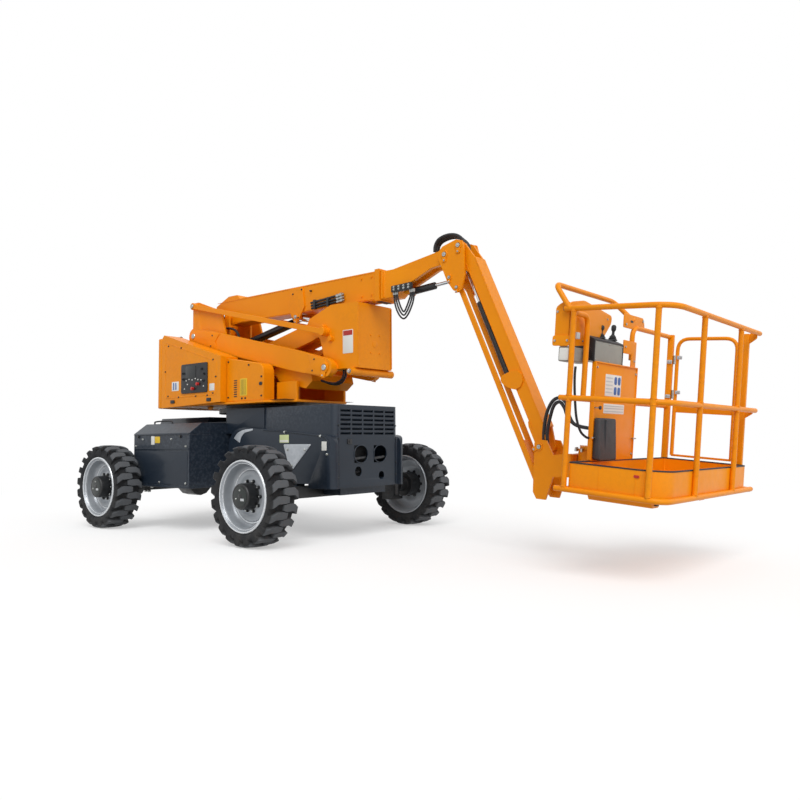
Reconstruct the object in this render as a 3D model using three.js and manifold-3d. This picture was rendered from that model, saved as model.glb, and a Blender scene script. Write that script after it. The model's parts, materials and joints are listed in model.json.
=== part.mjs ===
// Articulating boom lift with four wheels, a slewing turntable, a double parallelogram riser,
// a telescopic main boom, a parallelogram jib and a rotating work platform.
// Millimetres. +X is forward, towards the platform, +Y is left and +Z is up. The origin is on
// the ground, under the middle of the machine's bounding box.
import * as THREE from 'three';
import { mergeVertices } from 'three/addons/utils/BufferGeometryUtils.js';
import Module from 'manifold-3d';

const wasm = await Module();
wasm.setup();

// ---------- driving dimensions ----------
const pinGap = 0.5;          // between the cheeks of two pieces that turn on one pin
const seatGap = 0.3;         // between faces that are bolted or rest on each other
const clear = 6;             // least running clearance between moving pieces

const wheelbase = 2288;
const track = 2064;          // between the tyres' middle planes
const tyreDiameter = 840;
const tyreWidth = 260;
const rimDiameter = 590;
const rimWidth = 236;
const wheelSides = 24;
const kingpinInset = 250;    // from the tyre's middle plane to the kingpin
const hubRadius = 95;
const hubFlangeRadius = 120;

const axleBeamHalf = 58;
const hullHalfWidth = 350;
const hullBottom = 486;
const hullTop = 1062;
const hullRear = -1400;
const housingRear = 560;
const housingFront = 1485;
const housingHalfWidth = 425;
const housingCorner = 60;
const housingTop = 1180;
const ventRows = 6;
const ventColumns = 5;
const ventPitch = 40;         // between rows
const ventStep = 148;         // between columns
const ventWidth = 128;
const ventHeight = 22;
const skirtHalfWidth = 490;
const skirtFront = 1520;
const skirtCorner = 70;
const skirtDepth = 100;        // how far a skirt reaches in from its outer face
const skirtPlate = 8;
const skirtBottom = 450;
const boxRear = -972;
const boxFront = -12;
const boxHalfWidth = 860;
const boxBottom = 420;
const boxSideTop = 936;
const boxTop = 1046;
const boxChamfer = 140;
const boxWall = 8;

const ringRadius = 425;
const deckBottom = 1226;
const deckThickness = 22;
const deckRear = -962;
const deckFront = 900;
const coverHalfWidth = 560;
const panelHalfWidth = 500;
const hoodInner = 352;       // the hoods' inner edge, beside the lower arm
const hoodRear = deckRear + clear;
const hoodFront = 58;
const hoodRearTop = 1992;
const hoodFrontTop = 1698;
const hoodWall = 12;
const weightDepth = 150;
const engineInset = 60;        // below the front housing's roof

const towerPlate = 25;
const towerInner = 235;      // the tower plates' inner faces
const armInner = 275;        // the lower arm beams' inner faces
const armWidth = 60;
const armDepth = 195;
const riserRest = 13.3;      // slope of both riser arms at rest, degrees
const riserLength = 2030;    // between the pins of each riser arm
const towerPinX = -710;
const towerPinZ = 1984;
const tieOffsetX = -80;      // from an arm's pin to its tie's pin, at the tower and the knuckle
const tieOffsetZ = 338;
const tieDepth = 50;
const tieWidth = 28;
const riserY = 192;          // the lift cylinders' middle planes
const riserRamHalf = 32;
const riserFootX = -550;
const riserFootZ = 1296;
const riserAttach = 560;     // along the lower arm, from its pin
const upperPinX = 1250;      // the upper arm's pin in the knuckle
const upperPinZ = 1995;
const upperLinkDrop = 205;
const upperDepth = 180;
const upperInner = 70;
const upperOuter = 110;
const linkHalf = 30;
const knuckleFront = 1570;
const knuckleHalfWidth = 230;
const knuckleBottom = 1507;
const knuckleTop = 2090;
const knucklePlate = 20;

const postInner = 130;
const postPlate = 25;
const boomPinX = -430;
const boomPinZ = 2185;
const boomHalfWidth = 95;
const boomTop = 2368;
const boomBottom = 2112;
const boomWall = 8;
const boomFront = 1706;
const boomRamHalf = 42;
const levelRamHalf = 32;
const jibRamHalf = 31;
const boomEyeX = 640;        // the lift cylinder's pin on the boom
const boomEyeZ = 2070;
const boomBaseX = -400;      // the lift cylinder's pin on the post
const boomBaseZ = 1862;
const flyGap = 14;           // between the fly section and the boom's walls
const flyRear = 330;

const levelBaseX = 1985;      // the levelling cylinder's pin on the fly section
const levelBaseZ = 2150;
const levelEyeX = 2484;
const levelEyeZ = 2188;
const neckPinX = 2437;
const neckPinZ = 2386;
const neckHalfWidth = 75;
const headPlate = 18;
const headInner = 97;
const jibPinX = 2575;
const jibPinZ = 2438;
const jibLength = 1775;
const jibAngle = 66.6;       // below the horizontal, at rest
const jibHalfWidth = 73;
const jibLinkInner = 49;
const jibLinkOuter = 66;
const jibLinkDepth = 44;
const ramEyeAlong = 170;     // the jib cylinder's rod eye, from the jib's pin, along and behind the jib
const ramEyeBehind = 64;
const ramFootAlong = 1181;
const ramFootBehind = 70;
const jibLinkX = -18;        // from the jib's pin to its link's pin
const jibLinkZ = -342;

const basketTilt = 4.95;     // degrees, leaning forward
const basketYaw = -2.2;
const basketDepth = 634;
const basketWidth = 1522;
const basketHeight = 1164;
const basketGap = 247;       // from the rotator's axis to the platform's rear rail
const basketFloorZ = 554;
const rotatorX = 3585;
const rotatorHeight = 250;
const rotatorPlate = 24;
const railLow = 20;
const railMid = 587;
const railTop = basketHeight - 20;
const railPast = 50;         // how far the rails run past the left side
const railBehind = 64;       // and past the rear posts
const toeHeight = 190;
const gatePost = [-10, 34];  // the gate post's rear and front faces, from the rear rail
const gateOffset = 53;       // from the rear rail to the gate's hinge
const gateWidth = 450;
const latchPost = [-97, -51];  // the latch post's faces, from the front rail
const panelRight = -490;
const panelLeft = 140;
const panelTop = 832;
const gateTube = 14;
const hingeRadius = 17;
const gateHinges = [679, 945];
const tubeRadius = 17;
const tubeSides = 8;
const tubeFlat = tubeRadius * Math.cos(Math.PI / tubeSides);   // from a tube's axis to its flats

// ---------- colours ----------
const orange = { color: 0xf08a0c, roughness: 0.45, metalness: 0.1 };
const navy = { color: 0x262c35, roughness: 0.5, metalness: 0.2 };
const black = { color: 0x17191c, roughness: 0.45, metalness: 0.2 };
const silver = { color: 0x9a9ea3, roughness: 0.4, metalness: 0.5 };
const chrome = { color: 0xc8ccd0, roughness: 0.15, metalness: 1 };
const rubber = { color: 0x1b1d20, roughness: 0.9, metalness: 0 };
const grey = { color: 0x6f757a, roughness: 0.5, metalness: 0.2 };

// ---------- solids ----------
function rad(degrees) {
  return degrees * Math.PI / 180;
}

// A closed manifold solid from any closed three.js geometry, whichever way its faces turn.
function solid(geometry) {
  const bare = geometry.clone();
  bare.deleteAttribute('normal');
  bare.deleteAttribute('uv');
  const merged = mergeVertices(bare, 1e-3);
  const index = merged.index.array;
  const place = merged.attributes.position;
  const kept = [];
  for (let i = 0; i < index.length; i += 3) {
    const [a, b, c] = [index[i], index[i + 1], index[i + 2]];
    if (a !== b && b !== c && a !== c) kept.push(a, b, c);
  }
  const corner = i => new THREE.Vector3().fromBufferAttribute(place, kept[i]);
  let volume = 0;
  for (let i = 0; i < kept.length; i += 3) {
    volume += corner(i).dot(corner(i + 1).cross(corner(i + 2)));
  }
  if (volume < 0) kept.reverse();
  return new wasm.Manifold(new wasm.Mesh({
    numProp: 3,
    vertProperties: new Float32Array(place.array),
    triVerts: new Uint32Array(kept),
  }));
}

function join(...parts) {
  return parts.reduce((whole, part) => whole.add(part));
}

function cut(whole, ...tools) {
  return tools.reduce((rest, tool) => rest.subtract(tool), whole);
}

function box(x0, x1, y0, y1, z0, z1) {
  const shape = new THREE.BoxGeometry(x1 - x0, y1 - y0, z1 - z0);
  return solid(shape.translate((x0 + x1) / 2, (y0 + y1) / 2, (z0 + z1) / 2));
}

function outline(points) {
  return new THREE.Shape(points.map(([u, v]) => new THREE.Vector2(u, v)));
}

function extrude(shape, depth, curveSegments = 5) {
  return new THREE.ExtrudeGeometry(shape, { depth, bevelEnabled: false, curveSegments });
}

// A plate whose outline lies in XZ, between two values of Y.
function plateXZ(shape, y0, y1) {
  const flat = Array.isArray(shape) ? outline(shape) : shape;
  return solid(extrude(flat, y1 - y0).rotateX(Math.PI / 2).translate(0, y1, 0));
}

// A plate whose outline lies in XY, between two heights.
function plateXY(shape, z0, z1) {
  const flat = Array.isArray(shape) ? outline(shape) : shape;
  return solid(extrude(flat, z1 - z0).translate(0, 0, z0));
}

// A bar whose outline lies in YZ, between two values of X.
function barYZ(shape, x0, x1) {
  const bar = extrude(Array.isArray(shape) ? outline(shape) : shape, x1 - x0);
  const turn = new THREE.Matrix4().makeBasis(
    new THREE.Vector3(0, 1, 0), new THREE.Vector3(0, 0, 1), new THREE.Vector3(1, 0, 0));
  return solid(bar.applyMatrix4(turn).translate(x0, 0, 0));
}

function alongY(radius, x, z, y0, y1, sides = 16) {
  const shape = new THREE.CylinderGeometry(radius, radius, y1 - y0, sides);
  return solid(shape.translate(x, (y0 + y1) / 2, z));
}

function alongZ(radius, x, y, z0, z1, sides = 16) {
  const shape = new THREE.CylinderGeometry(radius, radius, z1 - z0, sides).rotateX(Math.PI / 2);
  return solid(shape.translate(x, y, (z0 + z1) / 2));
}

function alongX(radius, y, z, x0, x1, sides = 16) {
  const shape = new THREE.CylinderGeometry(radius, radius, x1 - x0, sides).rotateZ(-Math.PI / 2);
  return solid(shape.translate((x0 + x1) / 2, y, z));
}

// The same solid on both sides of the machine, joined.
function both(make) {
  return join(make(1), make(-1));
}

// y0..y1 on the left for side 1, mirrored to the right for side -1.
function span(side, y0, y1) {
  return side > 0 ? [y0, y1] : [-y1, -y0];
}

// Outline in XZ around two circles, as a strap between two pins.
function strap(x0, z0, r0, x1, z1, r1, steps = 6) {
  const angle = Math.atan2(z1 - z0, x1 - x0);
  const lean = Math.acos((r0 - r1) / Math.hypot(x1 - x0, z1 - z0));
  const points = [];
  for (let i = 0; i <= steps; i++) {
    const t = angle + lean + (2 * Math.PI - 2 * lean) * i / steps;
    points.push([x0 + r0 * Math.cos(t), z0 + r0 * Math.sin(t)]);
  }
  for (let i = 0; i <= steps; i++) {
    const t = angle - lean + 2 * lean * i / steps;
    points.push([x1 + r1 * Math.cos(t), z1 + r1 * Math.sin(t)]);
  }
  return points;
}

// A bent round tube through a list of points, its corners rounded.
function tube(points, radius, bend = 60, sides = tubeSides) {
  const path = new THREE.CurvePath();
  const at = points.map(p => new THREE.Vector3(...p));
  let from = at[0];
  for (let i = 1; i < at.length - 1; i++) {
    const back = at[i - 1].clone().sub(at[i]);
    const ahead = at[i + 1].clone().sub(at[i]);
    const reach = Math.min(bend, back.length() / 2.2, ahead.length() / 2.2);
    const a = at[i].clone().addScaledVector(back.normalize(), reach);
    const b = at[i].clone().addScaledVector(ahead.normalize(), reach);
    path.add(new THREE.LineCurve3(from, a));
    path.add(new THREE.QuadraticBezierCurve3(a, at[i], b));
    from = b;
  }
  path.add(new THREE.LineCurve3(from, at[at.length - 1]));
  const section = new THREE.Shape();
  for (let i = 0; i < sides; i++) {
    const t = 2 * Math.PI * (i + 0.5) / sides;
    const point = [radius * Math.cos(t), radius * Math.sin(t)];
    if (i === 0) section.moveTo(...point);
    else section.lineTo(...point);
  }
  return bendAlong(path, section);
}

// Sweeps a section along a path with one step on each straight and four on each bend.
function bendAlong(path, section) {
  const curves = path.curves;
  const marks = [curves[0].getPoint(0)];
  for (const curve of curves) {
    const steps = curve.isLineCurve3 ? 1 : 4;
    for (let i = 1; i <= steps; i++) marks.push(curve.getPoint(i / steps));
  }
  const route = new MarkedPath(marks);
  const shape = new THREE.ExtrudeGeometry(section, {
    steps: marks.length - 1, extrudePath: route, bevelEnabled: false, curveSegments: 1,
  });
  return solid(shape);
}

// A path that gives exactly its own marks when it is walked in equal steps.
class MarkedPath extends THREE.Curve {
  constructor(marks) {
    super();
    this.marks = marks;
  }

  getPoint(t) {
    const last = this.marks.length - 1;
    const at = Math.min(Math.floor(t * last + 1e-9), last - 1);
    return this.marks[at].clone().lerp(this.marks[at + 1], t * last - at);
  }

  getPointAt(t) {
    return this.getPoint(t);
  }

  getTangentAt(t) {
    const last = this.marks.length - 1;
    const at = Math.round(t * last);
    const before = this.marks[Math.max(at - 1, 0)];
    const after = this.marks[Math.min(at + 1, last)];
    const into = this.marks[at].clone().sub(before).normalize();
    const out = after.clone().sub(this.marks[at]).normalize();
    return into.add(out).normalize();
  }
}

// ---------- scene helpers ----------
const machine = new THREE.Group();
machine.name = 'articulating_boom_lift';

function addMesh(parent, name, body, look) {
  const mesh = body.getMesh();
  const geometry = new THREE.BufferGeometry();
  geometry.setAttribute('position', new THREE.BufferAttribute(mesh.vertProperties, 3));
  geometry.setIndex(new THREE.BufferAttribute(mesh.triVerts, 1));
  geometry.computeVertexNormals();
  const piece = new THREE.Mesh(geometry, new THREE.MeshStandardMaterial(look));
  piece.name = name;
  parent.add(piece);
  return piece;
}

// A group at a joint's own place. Its children are in its coordinates.
function pivot(name, parent, x = 0, y = 0, z = 0) {
  const group = new THREE.Group();
  group.name = name;
  group.position.set(x, y, z);
  parent.add(group);
  return group;
}

// Turns a group about Y so that its +X axis points along (dx, dz).
function pointAlong(group, dx, dz) {
  group.rotation.y = -Math.atan2(dz, dx);
}

// ---------- wheels, axles and steering ----------
const tyreRadius = tyreDiameter / 2;
const rimRadius = rimDiameter / 2;
const axleHeight = tyreRadius * Math.cos(Math.PI / wheelSides);

function lathe(points) {
  const profile = points.map(([radius, y]) => new THREE.Vector2(radius, y));
  const shape = new THREE.LatheGeometry(profile, wheelSides);
  return solid(shape.rotateY(Math.PI / wheelSides));
}

// side is 1 on the left. The wheel's outer face is towards side.
function wheelSolids(side) {
  const half = tyreWidth / 2;
  const tyre = lathe([
    [rimRadius + seatGap, -half + 28], [rimRadius + 30, -half], [tyreRadius - 60, -half],
    [tyreRadius, -half + 34], [tyreRadius, half - 34], [tyreRadius - 60, half],
    [rimRadius + 30, half], [rimRadius + seatGap, half - 28], [rimRadius + seatGap, -half + 28],
  ]);
  const edge = rimWidth / 2;
  const dish = side * 30;
  const rim = lathe([
    [0, dish - 16], [rimRadius - 50, dish - 16], [rimRadius - 22, -edge], [rimRadius, -edge],
    [rimRadius, edge], [rimRadius - 22, edge], [rimRadius - 50, dish + 16], [0, dish + 16],
  ]);
  const hub = alongY(hubRadius, 0, 0, ...span(side, dish * side + 10, half - 4), 20);
  return { tyre, rim: join(rim, hub) };
}

function addWheel(parent, end, side, x, y) {
  const spin = pivot('wheel_spin', parent, x, y, 0);
  const { tyre, rim } = wheelSolids(side);
  const place = `${end}_${side > 0 ? 'left' : 'right'}`;
  addMesh(spin, `tyre_${place}`, tyre, rubber);
  addMesh(spin, `rim_${place}`, rim, silver);
}

const chassis = pivot('chassis', machine);
const dishInner = track / 2 + 30 - 16 - pinGap;   // the hub flange's outer face

function rearAxle() {
  const x = -wheelbase / 2;
  const beam = box(x - 75, x + 75, -700, 700, axleHeight - axleBeamHalf, axleHeight + axleBeamHalf);
  const ends = both(side => alongY(105, x, axleHeight, ...span(side, 690, dishInner), 20));
  const diff = alongX(150, 0, axleHeight, x - 130, x + 110, 12);
  const pads = both(side => box(x - 70, x + 70, ...span(side, 200, 330), axleHeight, hullBottom - seatGap));
  return join(beam, ends, diff, pads);
}

const kingpinY = track / 2 - kingpinInset;

function frontAxle() {
  const x = wheelbase / 2;
  const z = axleHeight;
  const beam = box(x - 60, x + 60, -kingpinY + 90, kingpinY - 90, z - 50, z + 50);
  const forks = both(side => join(
    box(x - 60, x + 60, ...span(side, kingpinY - 130, kingpinY - 85), z - 135, z + 135),
    box(x - 60, x + 60, ...span(side, kingpinY - 130, kingpinY + 45), z + 110, z + 140),
    box(x - 60, x + 60, ...span(side, kingpinY - 130, kingpinY + 45), z - 140, z - 110)));
  const steerRam = alongY(36, x - 105, z, -230, 230, 12);
  const ramFoot = box(x - 110, x - 50, -160, 160, z - 20, z + 20);
  const pads = both(side => box(x - 55, x + 55, ...span(side, 160, 300), z, hullBottom - seatGap));
  return join(beam, forks, steerRam, ramFoot, pads);
}

function knuckle(side) {
  const post = alongZ(44, 0, 0, -110 + pinGap, 110 - pinGap, 16);
  const neck = alongY(70, 0, 0, ...span(side, 20, 130), 16);
  const flange = alongY(hubFlangeRadius, 0, 0, ...span(side, 120, dishInner - kingpinY), 20);
  const arm = box(-170, -20, ...span(side, -20, 20), -75, -50);
  return join(post, neck, flange, arm);
}

addMesh(chassis, 'rear_axle', rearAxle(), black);
addMesh(chassis, 'front_axle', frontAxle(), black);
for (const side of [1, -1]) {
  const place = side > 0 ? 'left' : 'right';
  const rear = pivot(`rear_${place}`, chassis, -wheelbase / 2, side * track / 2, axleHeight);
  addWheel(rear, 'rear', side, 0, 0);
  const steer = pivot(`steer_${place}`, chassis, wheelbase / 2, side * kingpinY, axleHeight);
  addMesh(steer, `steering_knuckle_${place}`, knuckle(side), black);
  addWheel(steer, 'front', side, 0, side * kingpinInset);
}

// ---------- chassis ----------
function chassisFrame() {
  const hull = box(hullRear, housingRear - seatGap, -hullHalfWidth, hullHalfWidth, hullBottom, hullTop);
  const tail = barYZ([[-hullHalfWidth, 980], [hullHalfWidth, 980], [hullHalfWidth - 60, 1120],
    [60 - hullHalfWidth, 1120]], hullRear + 40, -ringRadius - 60);
  const axleX = -wheelbase / 2;
  const notch = box(axleX - 150, axleX + 130, -170, 170, hullBottom - 1, axleHeight + 150 + clear);
  return cut(join(hull, tail), notch);
}

function roundedSkirt() {
  const shape = new THREE.Shape();
  shape.moveTo(100, skirtBottom + 90);
  shape.lineTo(100, 830);
  shape.quadraticCurveTo(120, 990, 340, 996);
  shape.lineTo(skirtFront - 95, 916);
  shape.quadraticCurveTo(skirtFront, 905, skirtFront, 810);
  shape.lineTo(skirtFront, skirtBottom);
  shape.lineTo(700, skirtBottom);
  shape.lineTo(600, skirtBottom + 90);
  return shape;
}

// A plan with its two front corners rounded, as a solid between two heights.
function roundedFront(rear, front, half, corner, z0, z1) {
  const shape = new THREE.Shape();
  shape.moveTo(rear, -half);
  shape.lineTo(front - corner, -half);
  shape.absarc(front - corner, corner - half, corner, -Math.PI / 2, 0, false);
  shape.lineTo(front, half - corner);
  shape.absarc(front - corner, half - corner, corner, 0, Math.PI / 2, false);
  shape.lineTo(rear, half);
  return plateXY(shape, z0, z1);
}

// A hole with one straight side, through the housing's front plate.
function dHole(y, z, wide, high) {
  const shape = new THREE.Shape();
  shape.moveTo(y - wide / 2, z - high / 2);
  shape.lineTo(y + wide / 2 - high / 2, z - high / 2);
  shape.absarc(y + wide / 2 - high / 2, z, high / 2, -Math.PI / 2, Math.PI / 2, false);
  shape.lineTo(y - wide / 2, z + high / 2);
  return barYZ(shape, housingFront - 60, housingFront + 5);
}

function frontHousing() {
  const body = roundedFront(housingRear, housingFront, housingHalfWidth, housingCorner, hullBottom, housingTop);
  const nose = roundedFront(housingFront - 260, housingFront, housingHalfWidth, housingCorner, skirtBottom, 520);
  const within = roundedFront(-100, skirtFront, skirtHalfWidth, skirtCorner, 0, 1400);
  const skirts = both(side => cut(
    plateXZ(roundedSkirt(), ...span(side, skirtHalfWidth - skirtDepth, skirtHalfWidth)).intersect(within),
    box(0, housingRear + 1, ...span(side, 300, skirtHalfWidth - skirtPlate), 0, 1200),
    box(housingFront, skirtFront + 1, ...span(side, 300, skirtHalfWidth - skirtPlate - 60), 0, 1200)));
  const guard = box(housingFront - 330, housingFront - 60, -300, 300, 385, 470);
  const tunnel = box(wheelbase / 2 - 75, wheelbase / 2 + 75, -500, 500, 0, hullBottom);
  const vents = [];
  for (let row = 0; row < ventRows; row++) {
    const z = housingTop - 51 - row * ventPitch;
    for (let column = 0; column < ventColumns; column++) {
      const y = (column - (ventColumns - 1) / 2) * ventStep;
      vents.push(box(housingFront - 40, housingFront + 5, y - ventWidth / 2, y + ventWidth / 2,
        z - ventHeight / 2, z + ventHeight / 2));
    }
  }
  const holes = [dHole(-97, 743, 176, 156), dHole(163, 743, 176, 156),
    alongX(44, -132, 590, housingFront - 60, housingFront + 5, 16),
    alongX(38, 180, 545, housingFront - 60, housingFront + 5, 16)];
  const hollow = box(housingRear + 60, housingFront - 8, -housingHalfWidth + 58, housingHalfWidth - 58,
    hullBottom + 40, housingTop - 8);
  return cut(join(body, nose, skirts, guard), hollow, tunnel, ...holes, ...vents);
}

addMesh(chassis, 'chassis_frame', chassisFrame(), navy);
addMesh(chassis, 'front_housing', frontHousing(), navy);

addMesh(chassis, 'power_block', box(housingRear + 100, housingFront - 200, -250, 250,
  hullBottom + 40 + seatGap, housingTop - 8 - engineInset), black);

for (const side of [1, -1]) {
  const place = side > 0 ? 'left' : 'right';
  const inner = hullHalfWidth + seatGap;
  const shell = box(boxRear, boxFront, ...span(side, inner, boxHalfWidth), boxBottom, boxSideTop);
  const room = box(boxRear + boxWall, boxFront - boxWall,
    ...span(side, inner + boxWall, boxHalfWidth - boxWall), boxBottom + boxWall, boxSideTop + 1);
  addMesh(chassis, `side_box_${place}`, cut(shell, room), navy);
  const low = boxSideTop + seatGap;
  const rise = [[inner, low], [boxHalfWidth, low], [boxHalfWidth, low + 10],
    [boxHalfWidth - boxChamfer, boxTop], [inner, boxTop]];
  const lower = [[inner + boxWall, low - 1], [boxHalfWidth - boxWall, low - 1],
    [boxHalfWidth - boxWall, low + 6], [boxHalfWidth - boxChamfer - 4, boxTop - boxWall], [inner + boxWall, boxTop - boxWall]];
  const turned = points => points.map(([y, z]) => [side * y, z]);
  const lid = cut(barYZ(turned(rise), boxRear, boxFront),
    barYZ(turned(lower), boxRear + boxWall, boxFront - boxWall));
  addMesh(chassis, `side_box_lid_${place}`, lid, navy);
  const pack = box(boxRear + 40, boxFront - 40, ...span(side, inner + 30, boxHalfWidth - 30),
    boxBottom + boxWall + seatGap, boxBottom + 360);
  addMesh(chassis, `battery_pack_${place}`, pack, black);
}

const ringBottom = hullTop + seatGap;
const ringTop = deckBottom - seatGap;
addMesh(chassis, 'slewing_ring', join(
  alongZ(ringRadius - 70, 0, 0, ringBottom, ringTop, 32),
  alongZ(ringRadius, 0, 0, ringBottom + 80, ringTop - 30, 32)), black);

// ---------- turntable ----------
const turntable = pivot('turntable', machine);

function towerOutline() {
  return [[-835, deckBottom], [-835, 2330], [-815, 2365], [-740, 2365], [-350, 2230],
    [-270, 1990], [-215, deckBottom]];
}

function turntableFrame() {
  const deckPlan = [[deckRear, -panelHalfWidth], [620, -panelHalfWidth], [deckFront, -330],
    [deckFront, 330], [620, panelHalfWidth], [deckRear, panelHalfWidth]];
  const deck = plateXY(deckPlan, deckBottom, deckBottom + deckThickness);
  const towers = both(side => plateXZ(towerOutline(), ...span(side, towerInner, towerInner + towerPlate)));
  const web = box(-835, -817, -towerInner - 1, towerInner + 1, deckBottom, 2300);
  const bosses = both(side => join(
    alongY(62, towerPinX, towerPinZ, ...span(side, towerInner, armInner - pinGap), 20),
    alongY(40, towerPinX + tieOffsetX, towerPinZ + tieOffsetZ,
      ...span(side, towerInner, armInner - pinGap), 16)));
  const front = both(side => box(620, deckFront - 10, ...span(side, 300, 330), deckBottom, 1420));
  const riserFeet = both(side => plateXZ(strap(riserFootX, riserFootZ, 40, riserFootX, deckBottom + 20, 55),
    ...span(side, riserY + riserRamHalf + pinGap, towerInner + 1)));
  return join(deck, towers, web, bosses, front, riserFeet);
}

addMesh(turntable, 'turntable_frame', turntableFrame(), orange);

function hoodSolid(side) {
  const bottom = deckBottom + deckThickness + seatGap;
  const shell = plateXZ([[hoodRear, bottom - 30], [hoodRear, hoodRearTop - 40], [hoodRear + 40, hoodRearTop],
    [hoodFront, hoodFrontTop], [hoodFront, bottom]], ...span(side, hoodInner, coverHalfWidth));
  const edge = box(hoodRear - 10, hoodFront + 10,
    ...span(side, hoodInner - 10, panelHalfWidth + seatGap), 0, bottom);
  const room = plateXZ([[hoodRear + hoodWall, 1000], [hoodRear + hoodWall, hoodRearTop - 40 - hoodWall],
    [hoodRear + 44, hoodRearTop - hoodWall], [hoodFront - hoodWall, hoodFrontTop - hoodWall],
    [hoodFront - hoodWall, 1000]], ...span(side, hoodInner - 1, coverHalfWidth - hoodWall));
  return cut(shell, edge, room);
}

function sidePanel(side) {
  const bottom = deckBottom + deckThickness + seatGap;
  const shape = new THREE.Shape();
  shape.moveTo(hoodFront + clear, bottom);
  shape.lineTo(hoodFront + clear, hoodFrontTop - 20);
  shape.lineTo(540, 1600);
  shape.quadraticCurveTo(612, 1585, 612, 1500);
  shape.lineTo(612, bottom);
  const shell = plateXZ(shape, ...span(side, hoodInner, panelHalfWidth - 12));
  const room = box(hoodFront + clear - 1, 600, ...span(side, hoodInner - 1, panelHalfWidth - 24), 0, 1480);
  return cut(shell, room);
}

for (const side of [1, -1]) {
  const place = side > 0 ? 'left' : 'right';
  addMesh(turntable, `side_panel_${place}`, sidePanel(side), orange);
  const hinge = pivot(`hood_hinge_${place}`, turntable, 0, side * hoodInner, hoodRearTop);
  const hood = hoodSolid(side).translate([0, -side * hoodInner, -hoodRearTop]);
  addMesh(hinge, `hood_${place}`, hood, orange);
}

function counterweight() {
  const shape = new THREE.Shape();
  const rear = deckRear - seatGap;
  shape.moveTo(rear, -coverHalfWidth);
  shape.lineTo(rear, coverHalfWidth);
  shape.lineTo(rear - 60, coverHalfWidth);
  shape.quadraticCurveTo(rear - 2 * weightDepth + 60, 0, rear - 60, -coverHalfWidth);
  return plateXY(shape, deckBottom - 10, hoodRearTop - 30);
}

addMesh(turntable, 'counterweight', counterweight(), orange);

// ---------- riser ----------
const slope = rad(riserRest);
const kneeX = towerPinX + riserLength * Math.cos(slope);
const kneeZ = towerPinZ - riserLength * Math.sin(slope);
const postPinX = upperPinX - riserLength * Math.cos(slope);
const postPinZ = upperPinZ - riserLength * Math.sin(slope);

const lowerArm = pivot('lower_arm', turntable, towerPinX, 0, towerPinZ);
pointAlong(lowerArm, Math.cos(slope), -Math.sin(slope));

function lowerArmSolid() {
  const half = armDepth / 2;
  const shape = new THREE.Shape();
  shape.moveTo(0, -85);
  shape.lineTo(260, -half);
  shape.lineTo(riserLength - 420, -half);
  shape.lineTo(riserLength, -85);
  shape.absarc(riserLength, 0, 85, -Math.PI / 2, Math.PI / 2, false);
  shape.lineTo(riserLength - 420, half);
  shape.lineTo(260, half);
  shape.lineTo(0, 85);
  shape.absarc(0, 0, 85, Math.PI / 2, 1.5 * Math.PI, false);
  const beams = both(side => plateXZ(shape, ...span(side, armInner, armInner + armWidth)));
  const boxShape = [[riserLength - 700, -92], [riserLength - 740, -150], [riserLength - 640, -235],
    [riserLength - 260, -235], [riserLength - 190, -150], [riserLength - 220, -92]];
  const torsionBox = plateXZ(boxShape, -armInner - 1, armInner + 1);
  const stubs = both(side => alongY(24, riserAttach, 0,
    ...span(side, riserY + riserRamHalf + pinGap, armInner + 1), 12));
  return join(beams, torsionBox, stubs);
}

addMesh(lowerArm, 'lower_arm', lowerArmSolid(), orange);

const tie = pivot('tie_link', turntable, towerPinX + tieOffsetX, 0, towerPinZ + tieOffsetZ);
pointAlong(tie, Math.cos(slope), -Math.sin(slope));

function tieSolid(side) {
  const bar = plateXZ([[0, -tieDepth / 2], [riserLength, -tieDepth / 2], [riserLength, tieDepth / 2],
    [0, tieDepth / 2]], ...span(side, armInner, armInner + tieWidth));
  const eyes = [0, riserLength].map(x => alongY(38, x, 0, ...span(side, armInner, armInner + tieWidth), 14));
  return join(bar, ...eyes);
}

addMesh(tie, 'tie_link_left', tieSolid(1), orange);
addMesh(tie, 'tie_link_right', tieSolid(-1), orange);

const knee = pivot('knuckle', lowerArm, riserLength, 0, 0);
knee.rotation.y = -lowerArm.rotation.y;

function kneeSolid() {
  const x = value => value - kneeX;
  const z = value => value - kneeZ;
  const side = [[x(1160), z(1600)], [x(1190), z(knuckleBottom)], [x(knuckleFront), z(knuckleBottom)],
    [x(knuckleFront), z(knuckleTop)], [x(1235), z(knuckleTop + 8)], [x(960), z(2000)],
    [x(930), z(1950)], [x(1100), z(1800)]];
  const plates = both(s => plateXZ(side, ...span(s, knuckleHalfWidth - knucklePlate, knuckleHalfWidth)));
  const wide = knuckleHalfWidth - 1;
  const front = box(x(knuckleFront - knucklePlate), x(knuckleFront), -wide, wide,
    z(knuckleBottom), z(knuckleTop));
  const roof = box(x(1400), x(knuckleFront), -wide, wide, z(knuckleTop - 20), z(knuckleTop));
  const floor = box(x(1190), x(knuckleFront), -wide, wide, z(knuckleBottom), z(knuckleBottom + 20));
  const inner = knuckleHalfWidth - knucklePlate + 1;
  const bosses = both(s => join(
    alongY(62, 0, 0, ...span(s, knuckleHalfWidth - 1, armInner - pinGap), 20),
    alongY(42, tieOffsetX, tieOffsetZ, ...span(s, knuckleHalfWidth - 1, armInner - pinGap), 16),
    alongY(45, x(upperPinX), z(upperPinZ), ...span(s, upperOuter + pinGap, inner), 16),
    alongY(22, x(upperPinX), z(upperPinZ - upperLinkDrop), ...span(s, linkHalf + pinGap, inner), 12)));
  return join(plates, front, roof, floor, bosses);
}

addMesh(knee, 'riser_knuckle', kneeSolid(), orange);

const upperArm = pivot('upper_arm', knee, upperPinX - kneeX, 0, upperPinZ - kneeZ);
pointAlong(upperArm, Math.cos(slope), Math.sin(slope));

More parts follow.
